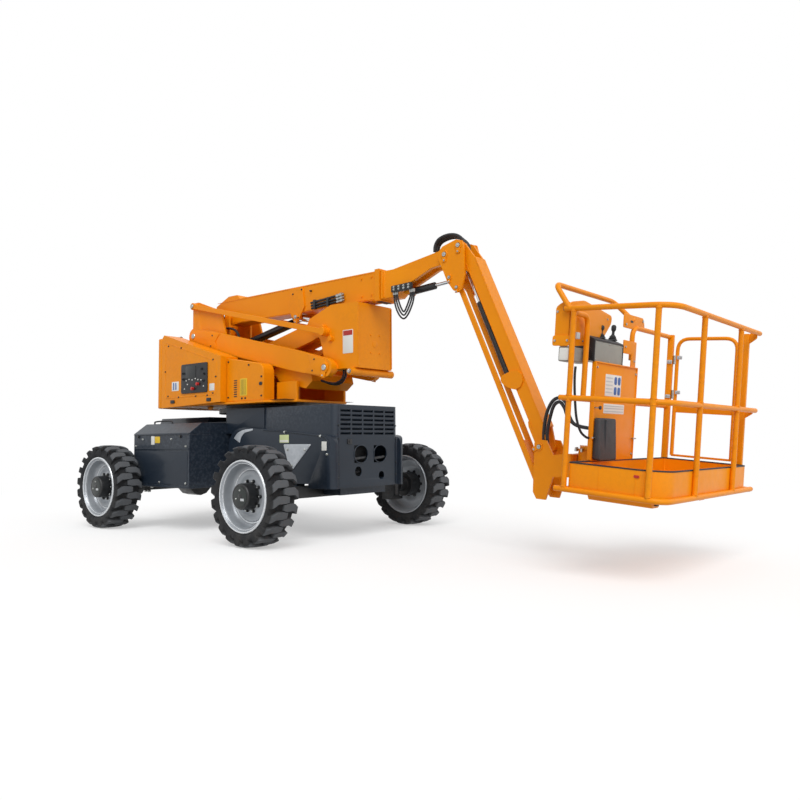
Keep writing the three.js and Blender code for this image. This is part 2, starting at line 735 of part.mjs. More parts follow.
function upperArmSolid() {
  const half = upperDepth / 2;
  const shape = [[-riserLength, -45], [-riserLength + 420, -half], [-420, -half], [0, -45],
    [45, -20], [45, 20], [0, 45], [-420, half], [-riserLength + 420, half], [-riserLength, 45],
    [-riserLength - 45, 20], [-riserLength - 45, -20]];
  const plates = both(side => plateXZ(shape, ...span(side, upperInner, upperOuter)));
  const roof = box(-riserLength + 420, -420, -upperOuter + 1, upperOuter - 1, half - 14, half);
  return join(plates, roof);
}

addMesh(upperArm, 'upper_arm', upperArmSolid(), orange);

const upperLink = pivot('upper_link', knee, upperPinX - kneeX, 0, upperPinZ - upperLinkDrop - kneeZ);
pointAlong(upperLink, Math.cos(slope), Math.sin(slope));
addMesh(upperLink, 'upper_link', plateXZ(strap(-riserLength, 0, 26, 0, 0, 26), -linkHalf, linkHalf), orange);

const post = pivot('boom_post', upperArm, -riserLength, 0, 0);
post.rotation.y = -upperArm.rotation.y;

function postSolid() {
  const x = value => value - postPinX;
  const z = value => value - postPinZ;
  const side = [[x(-790), z(1300)], [x(-760), z(1285)], [x(-660), z(1285)], [x(-345), z(1810)],
    [x(-345), z(2180)], [x(-380), z(2245)], [x(-480), z(2245)], [x(-790), z(1760)]];
  const plates = both(s => plateXZ(side, ...span(s, postInner, postInner + postPlate)));
  const inner = postInner + 1;
  const web = box(x(-790), x(-776), -inner, inner, z(1300), z(1740));
  const bosses = both(s => join(
    alongY(45, 0, 0, ...span(s, upperOuter + pinGap, inner), 16),
    alongY(22, 0, -upperLinkDrop, ...span(s, linkHalf + pinGap, inner), 12),
    alongY(24, x(boomBaseX), z(boomBaseZ), ...span(s, boomRamHalf + pinGap, inner), 12),
    alongY(50, x(boomPinX), z(boomPinZ), ...span(s, boomHalfWidth + pinGap, inner), 16)));
  return join(plates, web, bosses);
}

addMesh(post, 'boom_post', postSolid(), orange);

// ---------- cylinders ----------
// A barrel hinged at its foot with a rod that slides out to an eye, both along the group's +X.
function addRam(name, parent, foot, eye, size) {
  const half = size.half;
  const dx = eye[0] - foot[0];
  const dz = eye[2] - foot[2];
  const group = pivot(name, parent, ...foot);
  pointAlong(group, dx, dz);
  const length = Math.hypot(dx, dz);
  const mouth = size.mouth;
  const bore = size.rod + 1;
  const barrel = cut(
    join(alongY(size.eye, 0, 0, -half, half, 14), alongX(half - 1, 0, 0, size.eye * 0.6, mouth, 14)),
    alongX(bore, 0, 0, size.eye + 20, mouth + 1, 10));
  const rod = join(alongX(size.rod, 0, 0, size.rodFoot, length, 10),
    alongY(size.eye, length, 0, -half, half, 14));
  addMesh(group, `${name}_barrel`, barrel, size.look || black);
  addMesh(group, `${name}_rod`, rod, chrome);
  return group;
}

for (const side of [1, -1]) {
  const place = side > 0 ? 'left' : 'right';
  const eyeX = towerPinX + riserAttach * Math.cos(slope);
  const eyeZ = towerPinZ - riserAttach * Math.sin(slope);
  addRam(`riser_ram_${place}`, turntable, [riserFootX, side * riserY, riserFootZ],
    [eyeX, side * riserY, eyeZ], { eye: 36, half: riserRamHalf, rod: 18, mouth: 636, rodFoot: 70 });
}

addRam('boom_ram', post, [boomBaseX - postPinX, 0, boomBaseZ - postPinZ],
  [boomEyeX - postPinX, 0, boomEyeZ - postPinZ],
  { eye: 34, half: boomRamHalf, rod: 22, mouth: 900, rodFoot: 480 });

// ---------- main boom ----------
const boom = pivot('main_boom', post, boomPinX - postPinX, 0, boomPinZ - postPinZ);
const flyHalf = boomHalfWidth - boomWall - flyGap / 2;
const flyTop = boomTop - boomWall - flyGap / 2;
const flyBottom = boomBottom + boomWall + flyGap / 2;

function mainBoomSolid() {
  const x = value => value - boomPinX;
  const z = value => value - boomPinZ;
  const shape = [[x(-240), z(boomBottom)], [x(-380), z(2100)], [x(-490), z(2120)], [x(-640), z(2200)],
    [x(-640), z(2325)], [x(-430), z(2412)], [x(-290), z(2412)], [x(-240), z(boomTop)],
    [x(boomFront), z(boomTop)], [x(boomFront), z(boomBottom)]];
  const beam = plateXZ(shape, -boomHalfWidth, boomHalfWidth);
  const room = box(x(flyRear - 60), x(boomFront + 1), -boomHalfWidth + boomWall, boomHalfWidth - boomWall,
    z(boomBottom + boomWall), z(boomTop - boomWall));
  const collarOuter = box(x(boomFront - 40), x(boomFront + 12), -boomHalfWidth - 14, boomHalfWidth + 14,
    z(boomBottom - 14), z(boomTop + 14));
  const mouth = box(x(boomFront - 60), x(boomFront + 20), -flyHalf - pinGap, flyHalf + pinGap,
    z(flyBottom - pinGap), z(flyTop + pinGap));
  const pentagon = [[x(550), z(boomTop - 12)], [x(730), z(boomTop - 12)], [x(760), z(2160)],
    [x(670), z(2028)], [x(610), z(2028)], [x(540), z(2150)]];
  const ears = both(side => plateXZ(pentagon, ...span(side, boomHalfWidth - 1, boomHalfWidth + 14)));
  const pins = both(side => alongY(22, x(boomEyeX), z(boomEyeZ),
    ...span(side, boomRamHalf + pinGap, boomHalfWidth), 12));
  const shell = cut(join(beam, collarOuter), room, mouth);
  return join(shell, ears, pins);
}

addMesh(boom, 'main_boom', mainBoomSolid(), orange);

const fly = pivot('fly_boom', boom);

function flySolid() {
  const x = value => value - boomPinX;
  const z = value => value - boomPinZ;
  const inner = box(x(flyRear), x(1760), -flyHalf, flyHalf, z(flyBottom), z(flyTop));
  const flange = box(x(boomFront + 12 + clear), x(1745), -boomHalfWidth, boomHalfWidth,
    z(boomBottom), z(boomTop));
  const shape = new THREE.Shape();
  shape.moveTo(x(1740), z(boomBottom + 4));
  shape.lineTo(x(1865), z(boomBottom + 4));
  shape.lineTo(x(1930), z(2168));
  shape.lineTo(x(2262), z(2304));
  shape.lineTo(x(neckPinX), z(neckPinZ - 62));
  shape.absarc(x(neckPinX), z(neckPinZ), 62, -Math.PI / 2, Math.PI / 2, false);
  shape.lineTo(x(1850), z(boomTop - 8));
  shape.lineTo(x(1740), z(boomTop - 8));
  const neck = plateXZ(shape, -neckHalfWidth, neckHalfWidth);
  const hollow = box(x(flyRear - 1), x(1500), -flyHalf + 8, flyHalf - 8, z(flyBottom + 8), z(flyTop - 8));
  const earShape = strap(x(levelBaseX), z(levelBaseZ), 30, x(levelBaseX), z(levelBaseZ + 90), 45);
  const ears = both(side => plateXZ(earShape, ...span(side, levelRamHalf + pinGap, 52)));
  const slotHalf = levelRamHalf + clear;
  const slot = plateXZ([[x(1930), z(2100)], [x(2340), z(2100)], [x(2340), z(2322)], [x(2240), z(2322)],
    [x(1930), z(2200)]], -slotHalf, slotHalf);
  return join(cut(join(inner, flange, neck), hollow, slot), ears);
}

addMesh(fly, 'fly_boom', flySolid(), orange);

addRam('levelling_ram', fly, [levelBaseX - boomPinX, 0, levelBaseZ - boomPinZ],
  [levelEyeX - boomPinX, 0, levelEyeZ - boomPinZ],
  { eye: 28, half: levelRamHalf, rod: 16, mouth: 272, rodFoot: 248 });

// ---------- head bracket and jib ----------
const head = pivot('jib_head', fly, neckPinX - boomPinX, 0, neckPinZ - boomPinZ);
const jibSlope = rad(jibAngle);

// A place given along the jib and behind it, on the machine's side, as X and Z offsets.
function fromJib(along, behind) {
  return [along * Math.cos(jibSlope) - behind * Math.sin(jibSlope),
    -along * Math.sin(jibSlope) - behind * Math.cos(jibSlope)];
}

function headSolid() {
  const jx = jibPinX - neckPinX;
  const jz = jibPinZ - neckPinZ;
  const lx = jx + jibLinkX;
  const lz = jz + jibLinkZ;
  const [ex, ez] = fromJib(ramEyeAlong, ramEyeBehind);
  const outer = headInner + headPlate;
  const shape = [[-62, 30], [-20, 68], [jx - 20, jz + 52], [jx + 35, jz + 35], [jx + 50, jz - 20],
    [jx + 60, jz - 250], [lx + 45, lz - 20], [lx + 10, lz - 42], [lx - 35, lz - 20],
    [lx - 95, lz + 60], [-62, -30]];
  const plates = both(side => plateXZ(shape, ...span(side, headInner, outer)));
  const bosses = both(side => join(
    alongY(44, 0, 0, ...span(side, neckHalfWidth + pinGap, headInner + 1), 14),
    alongY(40, jx, jz, ...span(side, jibHalfWidth + pinGap, headInner + 1), 14),
    alongY(26, lx, lz, ...span(side, jibLinkOuter + pinGap, headInner + 1), 12),
    alongY(20, levelEyeX - neckPinX, levelEyeZ - neckPinZ,
      ...span(side, levelRamHalf + pinGap, headInner + 1), 12)));
  const tie = alongY(16, jx - 48, jz + ez + 12, -headInner - 1, headInner + 1, 10);
  const lug = strap(jx - 48, jz + ez + 12, 24, jx + ex, jz + ez, 24);
  const lugs = both(side => plateXZ(lug, ...span(side, jibRamHalf + pinGap, jibRamHalf + 11)));
  return join(plates, bosses, tie, lugs);
}

addMesh(head, 'jib_head_bracket', headSolid(), orange);

const jib = pivot('jib', head, jibPinX - neckPinX, 0, jibPinZ - neckPinZ);
pointAlong(jib, Math.cos(jibSlope), -Math.sin(jibSlope));

// In the jib's own frame +X runs down the jib and -Z is behind it, on the machine's side.
function jibSolid() {
  const body = box(150, jibLength - 130, -jibHalfWidth, jibHalfWidth, -22, 82);
  const endShape = (from, to) => strap(from, 0, 42, to, 20, 62);
  const ears = both(side => join(
    plateXZ(endShape(0, 190), ...span(side, jibHalfWidth - 20, jibHalfWidth)),
    plateXZ(endShape(jibLength, jibLength - 180), ...span(side, jibHalfWidth - 20, jibHalfWidth)),
    plateXZ(strap(ramFootAlong, -ramFootBehind, 40, ramFootAlong + 40, 0, 75),
      ...span(side, jibHalfWidth - 1, jibHalfWidth + 14)),
    alongY(18, ramFootAlong, -ramFootBehind, ...span(side, jibRamHalf + pinGap, jibHalfWidth + 1), 12)));
  return join(body, ears);
}

addMesh(jib, 'jib_beam', jibSolid(), orange);

const jibLink = pivot('jib_link', head, jibPinX - neckPinX + jibLinkX, 0, jibPinZ - neckPinZ + jibLinkZ);
pointAlong(jibLink, Math.cos(jibSlope), -Math.sin(jibSlope));

function jibLinkSolid() {
  const bar = strap(0, 0, jibLinkDepth / 2, jibLength, 0, jibLinkDepth / 2);
  const bars = both(side => plateXZ(bar, ...span(side, jibLinkInner, jibLinkOuter)));
  const spacer = box(1350, 1650, -jibLinkOuter + 1, jibLinkOuter - 1, -22, 10);
  return join(bars, spacer);
}

addMesh(jibLink, 'jib_link', jibLinkSolid(), orange);

{
  const [ex, ez] = [ramEyeAlong, -ramEyeBehind];
  addRam('jib_ram', jib, [ramFootAlong, 0, -ramFootBehind], [ex, 0, ez],
    { eye: 24, half: jibRamHalf, rod: 16, mouth: 700, rodFoot: 320 });
}

// ---------- platform bracket and rotator ----------
const wrist = pivot('platform_bracket', jib, jibLength, 0, 0);
wrist.rotation.y = -jib.rotation.y;
const [jibEndDx, jibEndDz] = fromJib(jibLength, 0);
const wristX = jibPinX + jibEndDx;
const wristZ = jibPinZ + jibEndDz;

function wristSolid() {
  const outer = headInner + headPlate;
  const reach = rotatorX - wristX;
  const top = basketFloorZ - wristZ;
  const shape = [[-40, 30], [10, 52], [60, 45], [110, -60], [reach - 100, top + 205], [reach - 55, top + 205],
    [reach - 55, top + 36], [reach - 200, top + 36], [jibLinkX + 60, jibLinkZ - 45],
    [jibLinkX - 15, jibLinkZ - 40], [jibLinkX - 42, jibLinkZ + 10]];
  const plates = both(side => plateXZ(shape, ...span(side, headInner, outer)));
  const bosses = both(side => join(
    alongY(40, 0, 0, ...span(side, jibHalfWidth + pinGap, headInner + 1), 14),
    alongY(26, jibLinkX, jibLinkZ, ...span(side, jibLinkOuter + pinGap, headInner + 1), 12)));
  const bridge = box(reach - 85, reach - 50, -headInner - 1, headInner + 1, top + 40, top + 200);
  const half = rotatorPlate / 2;
  const housing = alongZ(62, 0, 0, half + pinGap, rotatorHeight - half - pinGap, 18);
  const tilted = housing.rotate([0, basketTilt, 0]).translate([reach, 0, top]);
  return join(plates, bosses, bridge, tilted);
}

addMesh(wrist, 'platform_bracket', wristSolid(), orange);

// ---------- platform ----------
const tilt = pivot('platform_tilt', wrist, rotatorX - wristX, 0, basketFloorZ - wristZ);
tilt.rotation.y = rad(basketTilt);
const basket = pivot('platform', tilt);
basket.rotation.z = rad(basketYaw);

const bx0 = basketGap;
const bx1 = basketGap + basketDepth;
const by = basketWidth / 2;

function basketFrame() {
  const r = tubeRadius;
  const rear = bx0 - railBehind;
  const end = by + railPast;
  const parts = [];
  const uRail = (z, bend) => tube([[rear, -by, z], [bx1, -by, z], [bx1, end, z]], r, bend);
  parts.push(uRail(railMid, 150), uRail(railTop, 150), uRail(railLow, 110));
  parts.push(tube([[bx0, by, railLow], [bx1, by, railLow]], r));
  parts.push(tube([[bx0, -by - 10, railLow], [bx0, by, railLow]], r));
  const posts = [[bx0, -by], [bx1 - 96, -by], [bx1, -290], [bx1, 405]];
  for (const [x, y] of posts) parts.push(tube([[x, y, railLow], [x, y, railTop]], r));
  for (const [x0, x1] of [[bx0 + gatePost[0], bx0 + gatePost[1]], [bx1 + latchPost[0], bx1 + latchPost[1]]]) {
    parts.push(box(x0, x1, by - 15, by + 15, railLow, railTop - 6));
  }
  parts.push(box(bx1 + latchPost[1] - 1, bx1, by - 4, by + 4, railTop - 80, railTop));
  parts.push(tube([[bx0 + 10, by, railTop - 22], [bx0, 90, railTop - 22], [bx0, 90, panelTop + 60]], r, 80));
  parts.push(tube([[bx0, -by, railMid], [bx0, by, railMid]], r));
  parts.push(tube([[bx0, -by, railTop - 26], [bx0, -575, railTop - 26], [bx0, -580, railMid]], r, 60));
  parts.push(tube([[bx0 - 30, -by, railTop], [bx0 - 142, -by, railTop + 160], [bx0 - 142, 60, railTop + 160],
    [bx0, 100, railTop + 20]], r, 60));
  parts.push(box(bx0 - 4, bx0 + 4, -60, 275, railTop - 38, railTop + 60));
  for (const z of gateHinges) {
    parts.push(box(bx0 + gatePost[1] - 1, bx0 + gateOffset - hingeRadius - pinGap, by - 10, by + 10, z - 35, z + 35));
  }
  return join(...parts);
}

function basketFloor() {
  const inset = tubeFlat + seatGap;
  const x0 = bx0 + inset;
  const x1 = bx1 - inset;
  const y1 = by - inset;
  const corner = 120;
  const plan = [[x0, -y1], [x1 - corner, -y1], [x1, -y1 + corner], [x1, y1 - corner],
    [x1 - corner, y1], [x0, y1]];
  const wall = 4;
  const inner = [[x0 + wall, -y1 + wall], [x1 - corner - 2, -y1 + wall], [x1 - wall, -y1 + corner + 2],
    [x1 - wall, y1 - corner - 2], [x1 - corner - 2, y1 - wall], [x0 + wall, y1 - wall]];
  const pan = cut(plateXY(plan, 0, toeHeight), plateXY(inner, 12, toeHeight + 1));
  const channels = [-420, 380].map(y => box(x0 + 40, x1 - 90, y - 45, y + 45, -55, 1));
  return join(pan, ...channels);
}

function basketMount() {
  const plate = box(bx0 - tubeFlat - seatGap - 28, bx0 - tubeFlat - seatGap, -130, 130, 0, 330);
  const arm = [[0, -70], [bx0 - 40, -120], [bx0 - 40, 120], [0, 70], [-60, 0]];
  const arms = [0, rotatorHeight].map(z => plateXY(arm, z - rotatorPlate / 2, z + rotatorPlate / 2));
  return join(plate, ...arms);
}

addMesh(basket, 'platform_frame', basketFrame(), orange);
addMesh(basket, 'platform_floor', basketFloor(), orange);
addMesh(basket, 'rotator_mount', basketMount(), orange);

const gateHinge = pivot('gate_hinge', basket, bx0 + gateOffset, by, 0);

function gateSolid() {
  const wide = gateWidth;
  const low = toeHeight + 24;
  const high = railTop - 20;
  const frame = tube([[0, 0, low], [0, 0, high], [wide, 0, high], [wide, 0, low]], gateTube, 90);
  const plate = box(0, wide, -4, 4, railMid - 45, railMid + 5);
  const foot = box(0, wide, -8, 8, low - 8, low + 8);
  const barrels = gateHinges.map(z => alongZ(hingeRadius, 0, 0, z - 35, z + 35, 20));
  return join(frame, plate, foot, ...barrels);
}

addMesh(gateHinge, 'platform_gate', gateSolid(), orange);

// The panel stands on the rear toe board and carries the control box, its shield and a lamp box.
function consolePanel() {
  const x0 = bx0 + tubeFlat + seatGap;
  const low = panelTop + 11;
  const back = box(x0, x0 + 12, panelRight, panelLeft, toeHeight + seatGap, panelTop);
  const controls = plateXZ([[x0 - 143, low], [x0 - 143, 985], [x0 - 60, 1004], [x0 + 4, 976], [x0 + 4, panelTop - 2],
    [x0, panelTop - 2], [x0 - 10, low]], panelRight - 15, -85);
  const bracket = join(box(x0, x0 + 8, -86, 116, 924, 1016), box(x0, x0 + 8, 44, 116, panelTop - 1, 925));
  const shield = barYZ([[-738, 910], [-738, 1190], [-560, 1222], [-165, 1170], [-165, 1120], [-300, 980],
    [-500, 935]], x0 - 60, x0 - 54);
  const cheek = plateXZ([[x0 - 157, 910], [x0 - 157, 1182], [x0 - 54, 1190], [x0 - 54, 910]], -738, -732);
  const lamp = box(x0 - 122, x0 - 40, -738, panelRight - 14, 815, 911);
  return join(back, controls, bracket, shield, cheek, lamp);
}

addMesh(basket, 'control_console', consolePanel(), grey);

machine.updateMatrixWorld(true);
const bounds = new THREE.Box3().setFromObject(machine, true);
machine.position.x = -(bounds.min.x + bounds.max.x) / 2;

export default machine;
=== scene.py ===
import json
import math

import bmesh
import bpy
import numpy as np
from mathutils import Matrix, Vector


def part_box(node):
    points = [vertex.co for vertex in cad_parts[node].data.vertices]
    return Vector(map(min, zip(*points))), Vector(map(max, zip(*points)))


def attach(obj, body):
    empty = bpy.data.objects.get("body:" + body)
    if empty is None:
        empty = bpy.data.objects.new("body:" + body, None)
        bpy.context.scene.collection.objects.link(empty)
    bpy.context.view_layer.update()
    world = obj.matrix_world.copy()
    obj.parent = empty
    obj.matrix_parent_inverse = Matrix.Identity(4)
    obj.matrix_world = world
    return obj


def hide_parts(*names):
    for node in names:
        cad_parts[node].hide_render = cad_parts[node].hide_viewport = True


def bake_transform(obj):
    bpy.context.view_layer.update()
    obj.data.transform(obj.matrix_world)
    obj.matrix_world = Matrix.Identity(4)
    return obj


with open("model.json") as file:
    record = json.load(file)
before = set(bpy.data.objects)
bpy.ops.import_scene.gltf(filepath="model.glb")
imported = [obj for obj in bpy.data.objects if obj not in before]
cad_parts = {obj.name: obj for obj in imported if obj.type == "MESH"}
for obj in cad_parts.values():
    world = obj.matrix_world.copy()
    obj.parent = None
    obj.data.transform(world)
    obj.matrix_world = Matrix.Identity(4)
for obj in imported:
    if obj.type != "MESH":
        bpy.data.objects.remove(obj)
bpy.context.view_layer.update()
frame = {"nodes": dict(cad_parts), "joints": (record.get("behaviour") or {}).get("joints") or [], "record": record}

print("stage: frame loaded")

jointAt = {joint["name"]: joint for joint in frame["joints"]}
upright = (0, 0, 1)
left = (0, 1, 0)


# Turns millimetres along three axes into metres in the frame: origin + x * ahead + y * left + z * up.
def placer(origin, ahead, up, leftward=left):
    axes = np.array([ahead, leftward, up], float)
    return lambda points: np.asarray(origin, float) + np.asarray(points, float) / 1000 @ axes


# most shapes are written from the point on the ground midway between the axles
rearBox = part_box("tyre_rear_left")
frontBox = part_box("tyre_front_left")
midAxles = (rearBox[0].x + rearBox[1].x + frontBox[0].x + frontBox[1].x) / 4
toFrame = placer((midAxles, 0, 0), (1, 0, 0), upright)
inFrame = placer((0, 0, 0), (1, 0, 0), upright)


# x along an arm that falls forwards by some degrees from its joint's pin, z square to it
def alongArm(joint, fall):
    angle = math.radians(fall)
    ahead, up = (math.cos(angle), 0, -math.sin(angle)), (math.sin(angle), 0, math.cos(angle))
    return placer(jointAt[joint]["pos_m"], ahead, up)


# the platform's own axes: it leans with its rotator and is turned a little on it
def alongPlatform(turn):
    rotator = jointAt["platform_rotate"]
    up = np.array(rotator["axis"], float)
    up /= np.linalg.norm(up)
    angle = math.radians(turn)
    ahead = np.cross(left, up) * math.cos(angle) + np.array(left) * math.sin(angle)
    return placer(rotator["pos_m"], ahead, up, np.cross(up, ahead))


toPlatform = alongPlatform(-2.2)
toJib = alongArm("jib_lift", 66.6)
toLowerArm = alongArm("riser_lift", 13.3)
# the axes that shapes on each body are written in, where they are not the frame's
placeOf = {"platform": toPlatform, "platform_gate": toPlatform, "lower_arm": toLowerArm, "jib": toJib}
placeOf.update({f"wheel_{end}_{side}": inFrame for end in ("front", "rear") for side in ("left", "right")})

view = {
    "place": (5935.2, -4946.5, 862.6),
    "heading": 129.485,      # degrees from +X, anticlockwise from above
    "pitch": 3.151,
    "roll": -0.38,
    "lens": 33.03,
}


def makeCamera():
    heading, pitch, roll = (math.radians(view[k]) for k in ("heading", "pitch", "roll"))
    ahead = np.array([math.cos(pitch) * math.cos(heading), math.cos(pitch) * math.sin(heading), math.sin(pitch)])
    side = np.array([math.sin(heading), -math.cos(heading), 0])
    up = np.cross(side, ahead)
    right = math.cos(roll) * side + math.sin(roll) * up
    top = -math.sin(roll) * side + math.cos(roll) * up
    lens = bpy.data.cameras.new("view")
    lens.lens = view["lens"]
    lens.sensor_width = 36
    lens.clip_end = 200
    camera = bpy.data.objects.new("view", lens)
    bpy.context.scene.collection.objects.link(camera)
    place = toFrame(view["place"])
    camera.matrix_world = Matrix([[right[i], top[i], -ahead[i], place[i]] for i in range(3)] + [[0, 0, 0, 1]])
    bpy.context.scene.camera = camera


makeCamera()


def linear(hexColour):
    parts = [int(hexColour[i:i + 2], 16) / 255 for i in (1, 3, 5)]
    return tuple(c / 12.92 if c <= 0.04045 else ((c + 0.055) / 1.055) ** 2.4 for c in parts) + (1,)


# Adds one node, sets its properties, sets or links its sockets by name or number, and gives one output.
def addNode(tree, kind, sockets, give=0, **settings):
    made = tree.nodes.new("ShaderNode" + kind)
    for name, value in settings.items():
        setattr(made, name, value)
    for name, value in sockets.items():
        socket = made.inputs[name]
        if isinstance(value, bpy.types.NodeSocket):
            tree.links.new(value, socket)
        else:
            socket.default_value = value
    return made.outputs[give]


def newMaterial(name):
    material = bpy.data.materials.new(name)
    material.use_nodes = True
    tree = material.node_tree
    tree.nodes.clear()
    output = tree.nodes.new("ShaderNodeOutputMaterial").inputs["Surface"]
    place = addNode(tree, "TexCoord", {}, "Object")
    return material, tree, output, place


# Sprayed or moulded surfaces. look holds:
#   colour, second: sRGB hexes that drift into each other in patches of "patch" metres
#   rough, roughDrift: roughness and how much it wanders; metal: metallic
#   grain, grainDepth: size and height in metres of the fine bump; wave, waveDepth: of the slow one
#   dust, dustHeight: hex and height in metres below which dirt gathers; dustMost: its strength there
#    wear: hex at worn corners (on the tyre partly painted highlight), wearMost: how much; raised: painted highlight's
#        hex on a tread's tops
def surface(name, look):
    material, tree, output, place = newMaterial(name)
    # each noise by the size of its features in metres, its detail and its roughness
    noises = {"patch": (look.get("patch", 0.25), 4.0, 0.55), "speck": (0.006, 3.0, 0.7), "chips": (0.03, 5.0, 0.7),
        "cloud": (0.09, 6.0, 0.65), "sheen": (0.05, 5.0, 0.55), "wave": (look.get("wave", 0.3), 2.0, 0.55),
        "grain": (look.get("grain", 0.0015), 2.0, 0.55),}
    noise = {use: addNode(tree, "TexNoise", {"Vector": place, "Scale": 1 / size, "Detail": detail,
        "Roughness": rough}) for use, (size, detail, rough) in noises.items()}
    patches = addNode(tree, "MapRange", {"Value": noise["patch"], "From Min": 0.3, "From Max": 0.7})
    layers = [(patches, "second")]     # shares of the colours laid one over another
    if "raised" in look:     # painted highlight: the tread's tops are painted paler than its voids, by the mesh's own "raised" value
        layers.append((addNode(tree, "Attribute", {}, "Fac", attribute_name="raised"), "raised"))
    # paler or darker at sharp corners: worn paint, and on the tyre also a painted highlight on the lugs' edges
    if "wear" in look:
        sharp = addNode(tree, "NewGeometry", {}, "Pointiness")
        edge = addNode(tree, "MapRange", {"Value": sharp, "From Min": 0.53, "From Max": 0.62})
        broken = addNode(tree, "MapRange", {"Value": noise["chips"], "From Min": 0.45, "From Max": 0.62,
            "To Max": look.get("wearMost", 0.5)})
        layers.append((addNode(tree, "Math", {0: edge, 1: broken}, operation="MULTIPLY"), "wear"))
    if "dust" in look:
        low = addNode(tree, "MapRange", {"Value": addNode(tree, "SeparateXYZ", {"Vector": place}, "Z"),
            "From Min": look["dustHeight"], "From Max": 0.0, "To Max": look["dustMost"]})
        cloud = addNode(tree, "MapRange", {"Value": noise["cloud"], "From Min": 0.35, "From Max": 0.7})
        speck = addNode(tree, "MapRange", {"Value": noise["speck"], "From Min": 0.3, "From Max": 0.7, "To Min": 0.5})
        soiled = addNode(tree, "Math", {0: low, 1: cloud}, operation="MULTIPLY")
        layers.append((addNode(tree, "Math", {0: soiled, 1: speck}, operation="MULTIPLY"), "dust"))
    colour = linear(look["colour"])
    for share, over in layers:
        colour = addNode(tree, "Mix", {"Factor": share, "A": colour, "B": linear(look[over])}, 2, data_type="RGBA")
    drift = look.get("roughDrift", 0.06)
    rough = addNode(tree, "MapRange", {"Value": noise["sheen"], "From Min": 0.3, "From Max": 0.7,
        "To Min": look["rough"] - drift, "To Max": look["rough"] + drift})
    normal = addNode(tree, "Bump", {"Height": noise["wave"], "Distance": look.get("waveDepth", 0.001),
        "Strength": 1.0})
    normal = addNode(tree, "Bump", {"Height": noise["grain"], "Distance": look.get("grainDepth", 0.00005),
        "Strength": 1.0, "Normal": normal})
    shader = addNode(tree, "BsdfPrincipled", {"Base Color": colour, "Roughness": rough,
        "Metallic": look.get("metal", 0.0), "Normal": normal, "Coat Weight": look.get("coat", 0.0),
        "Coat Roughness": look.get("coatRough", 0.2), "Specular IOR Level": look.get("specular", 0.5)})
    tree.links.new(shader, output)
    return material


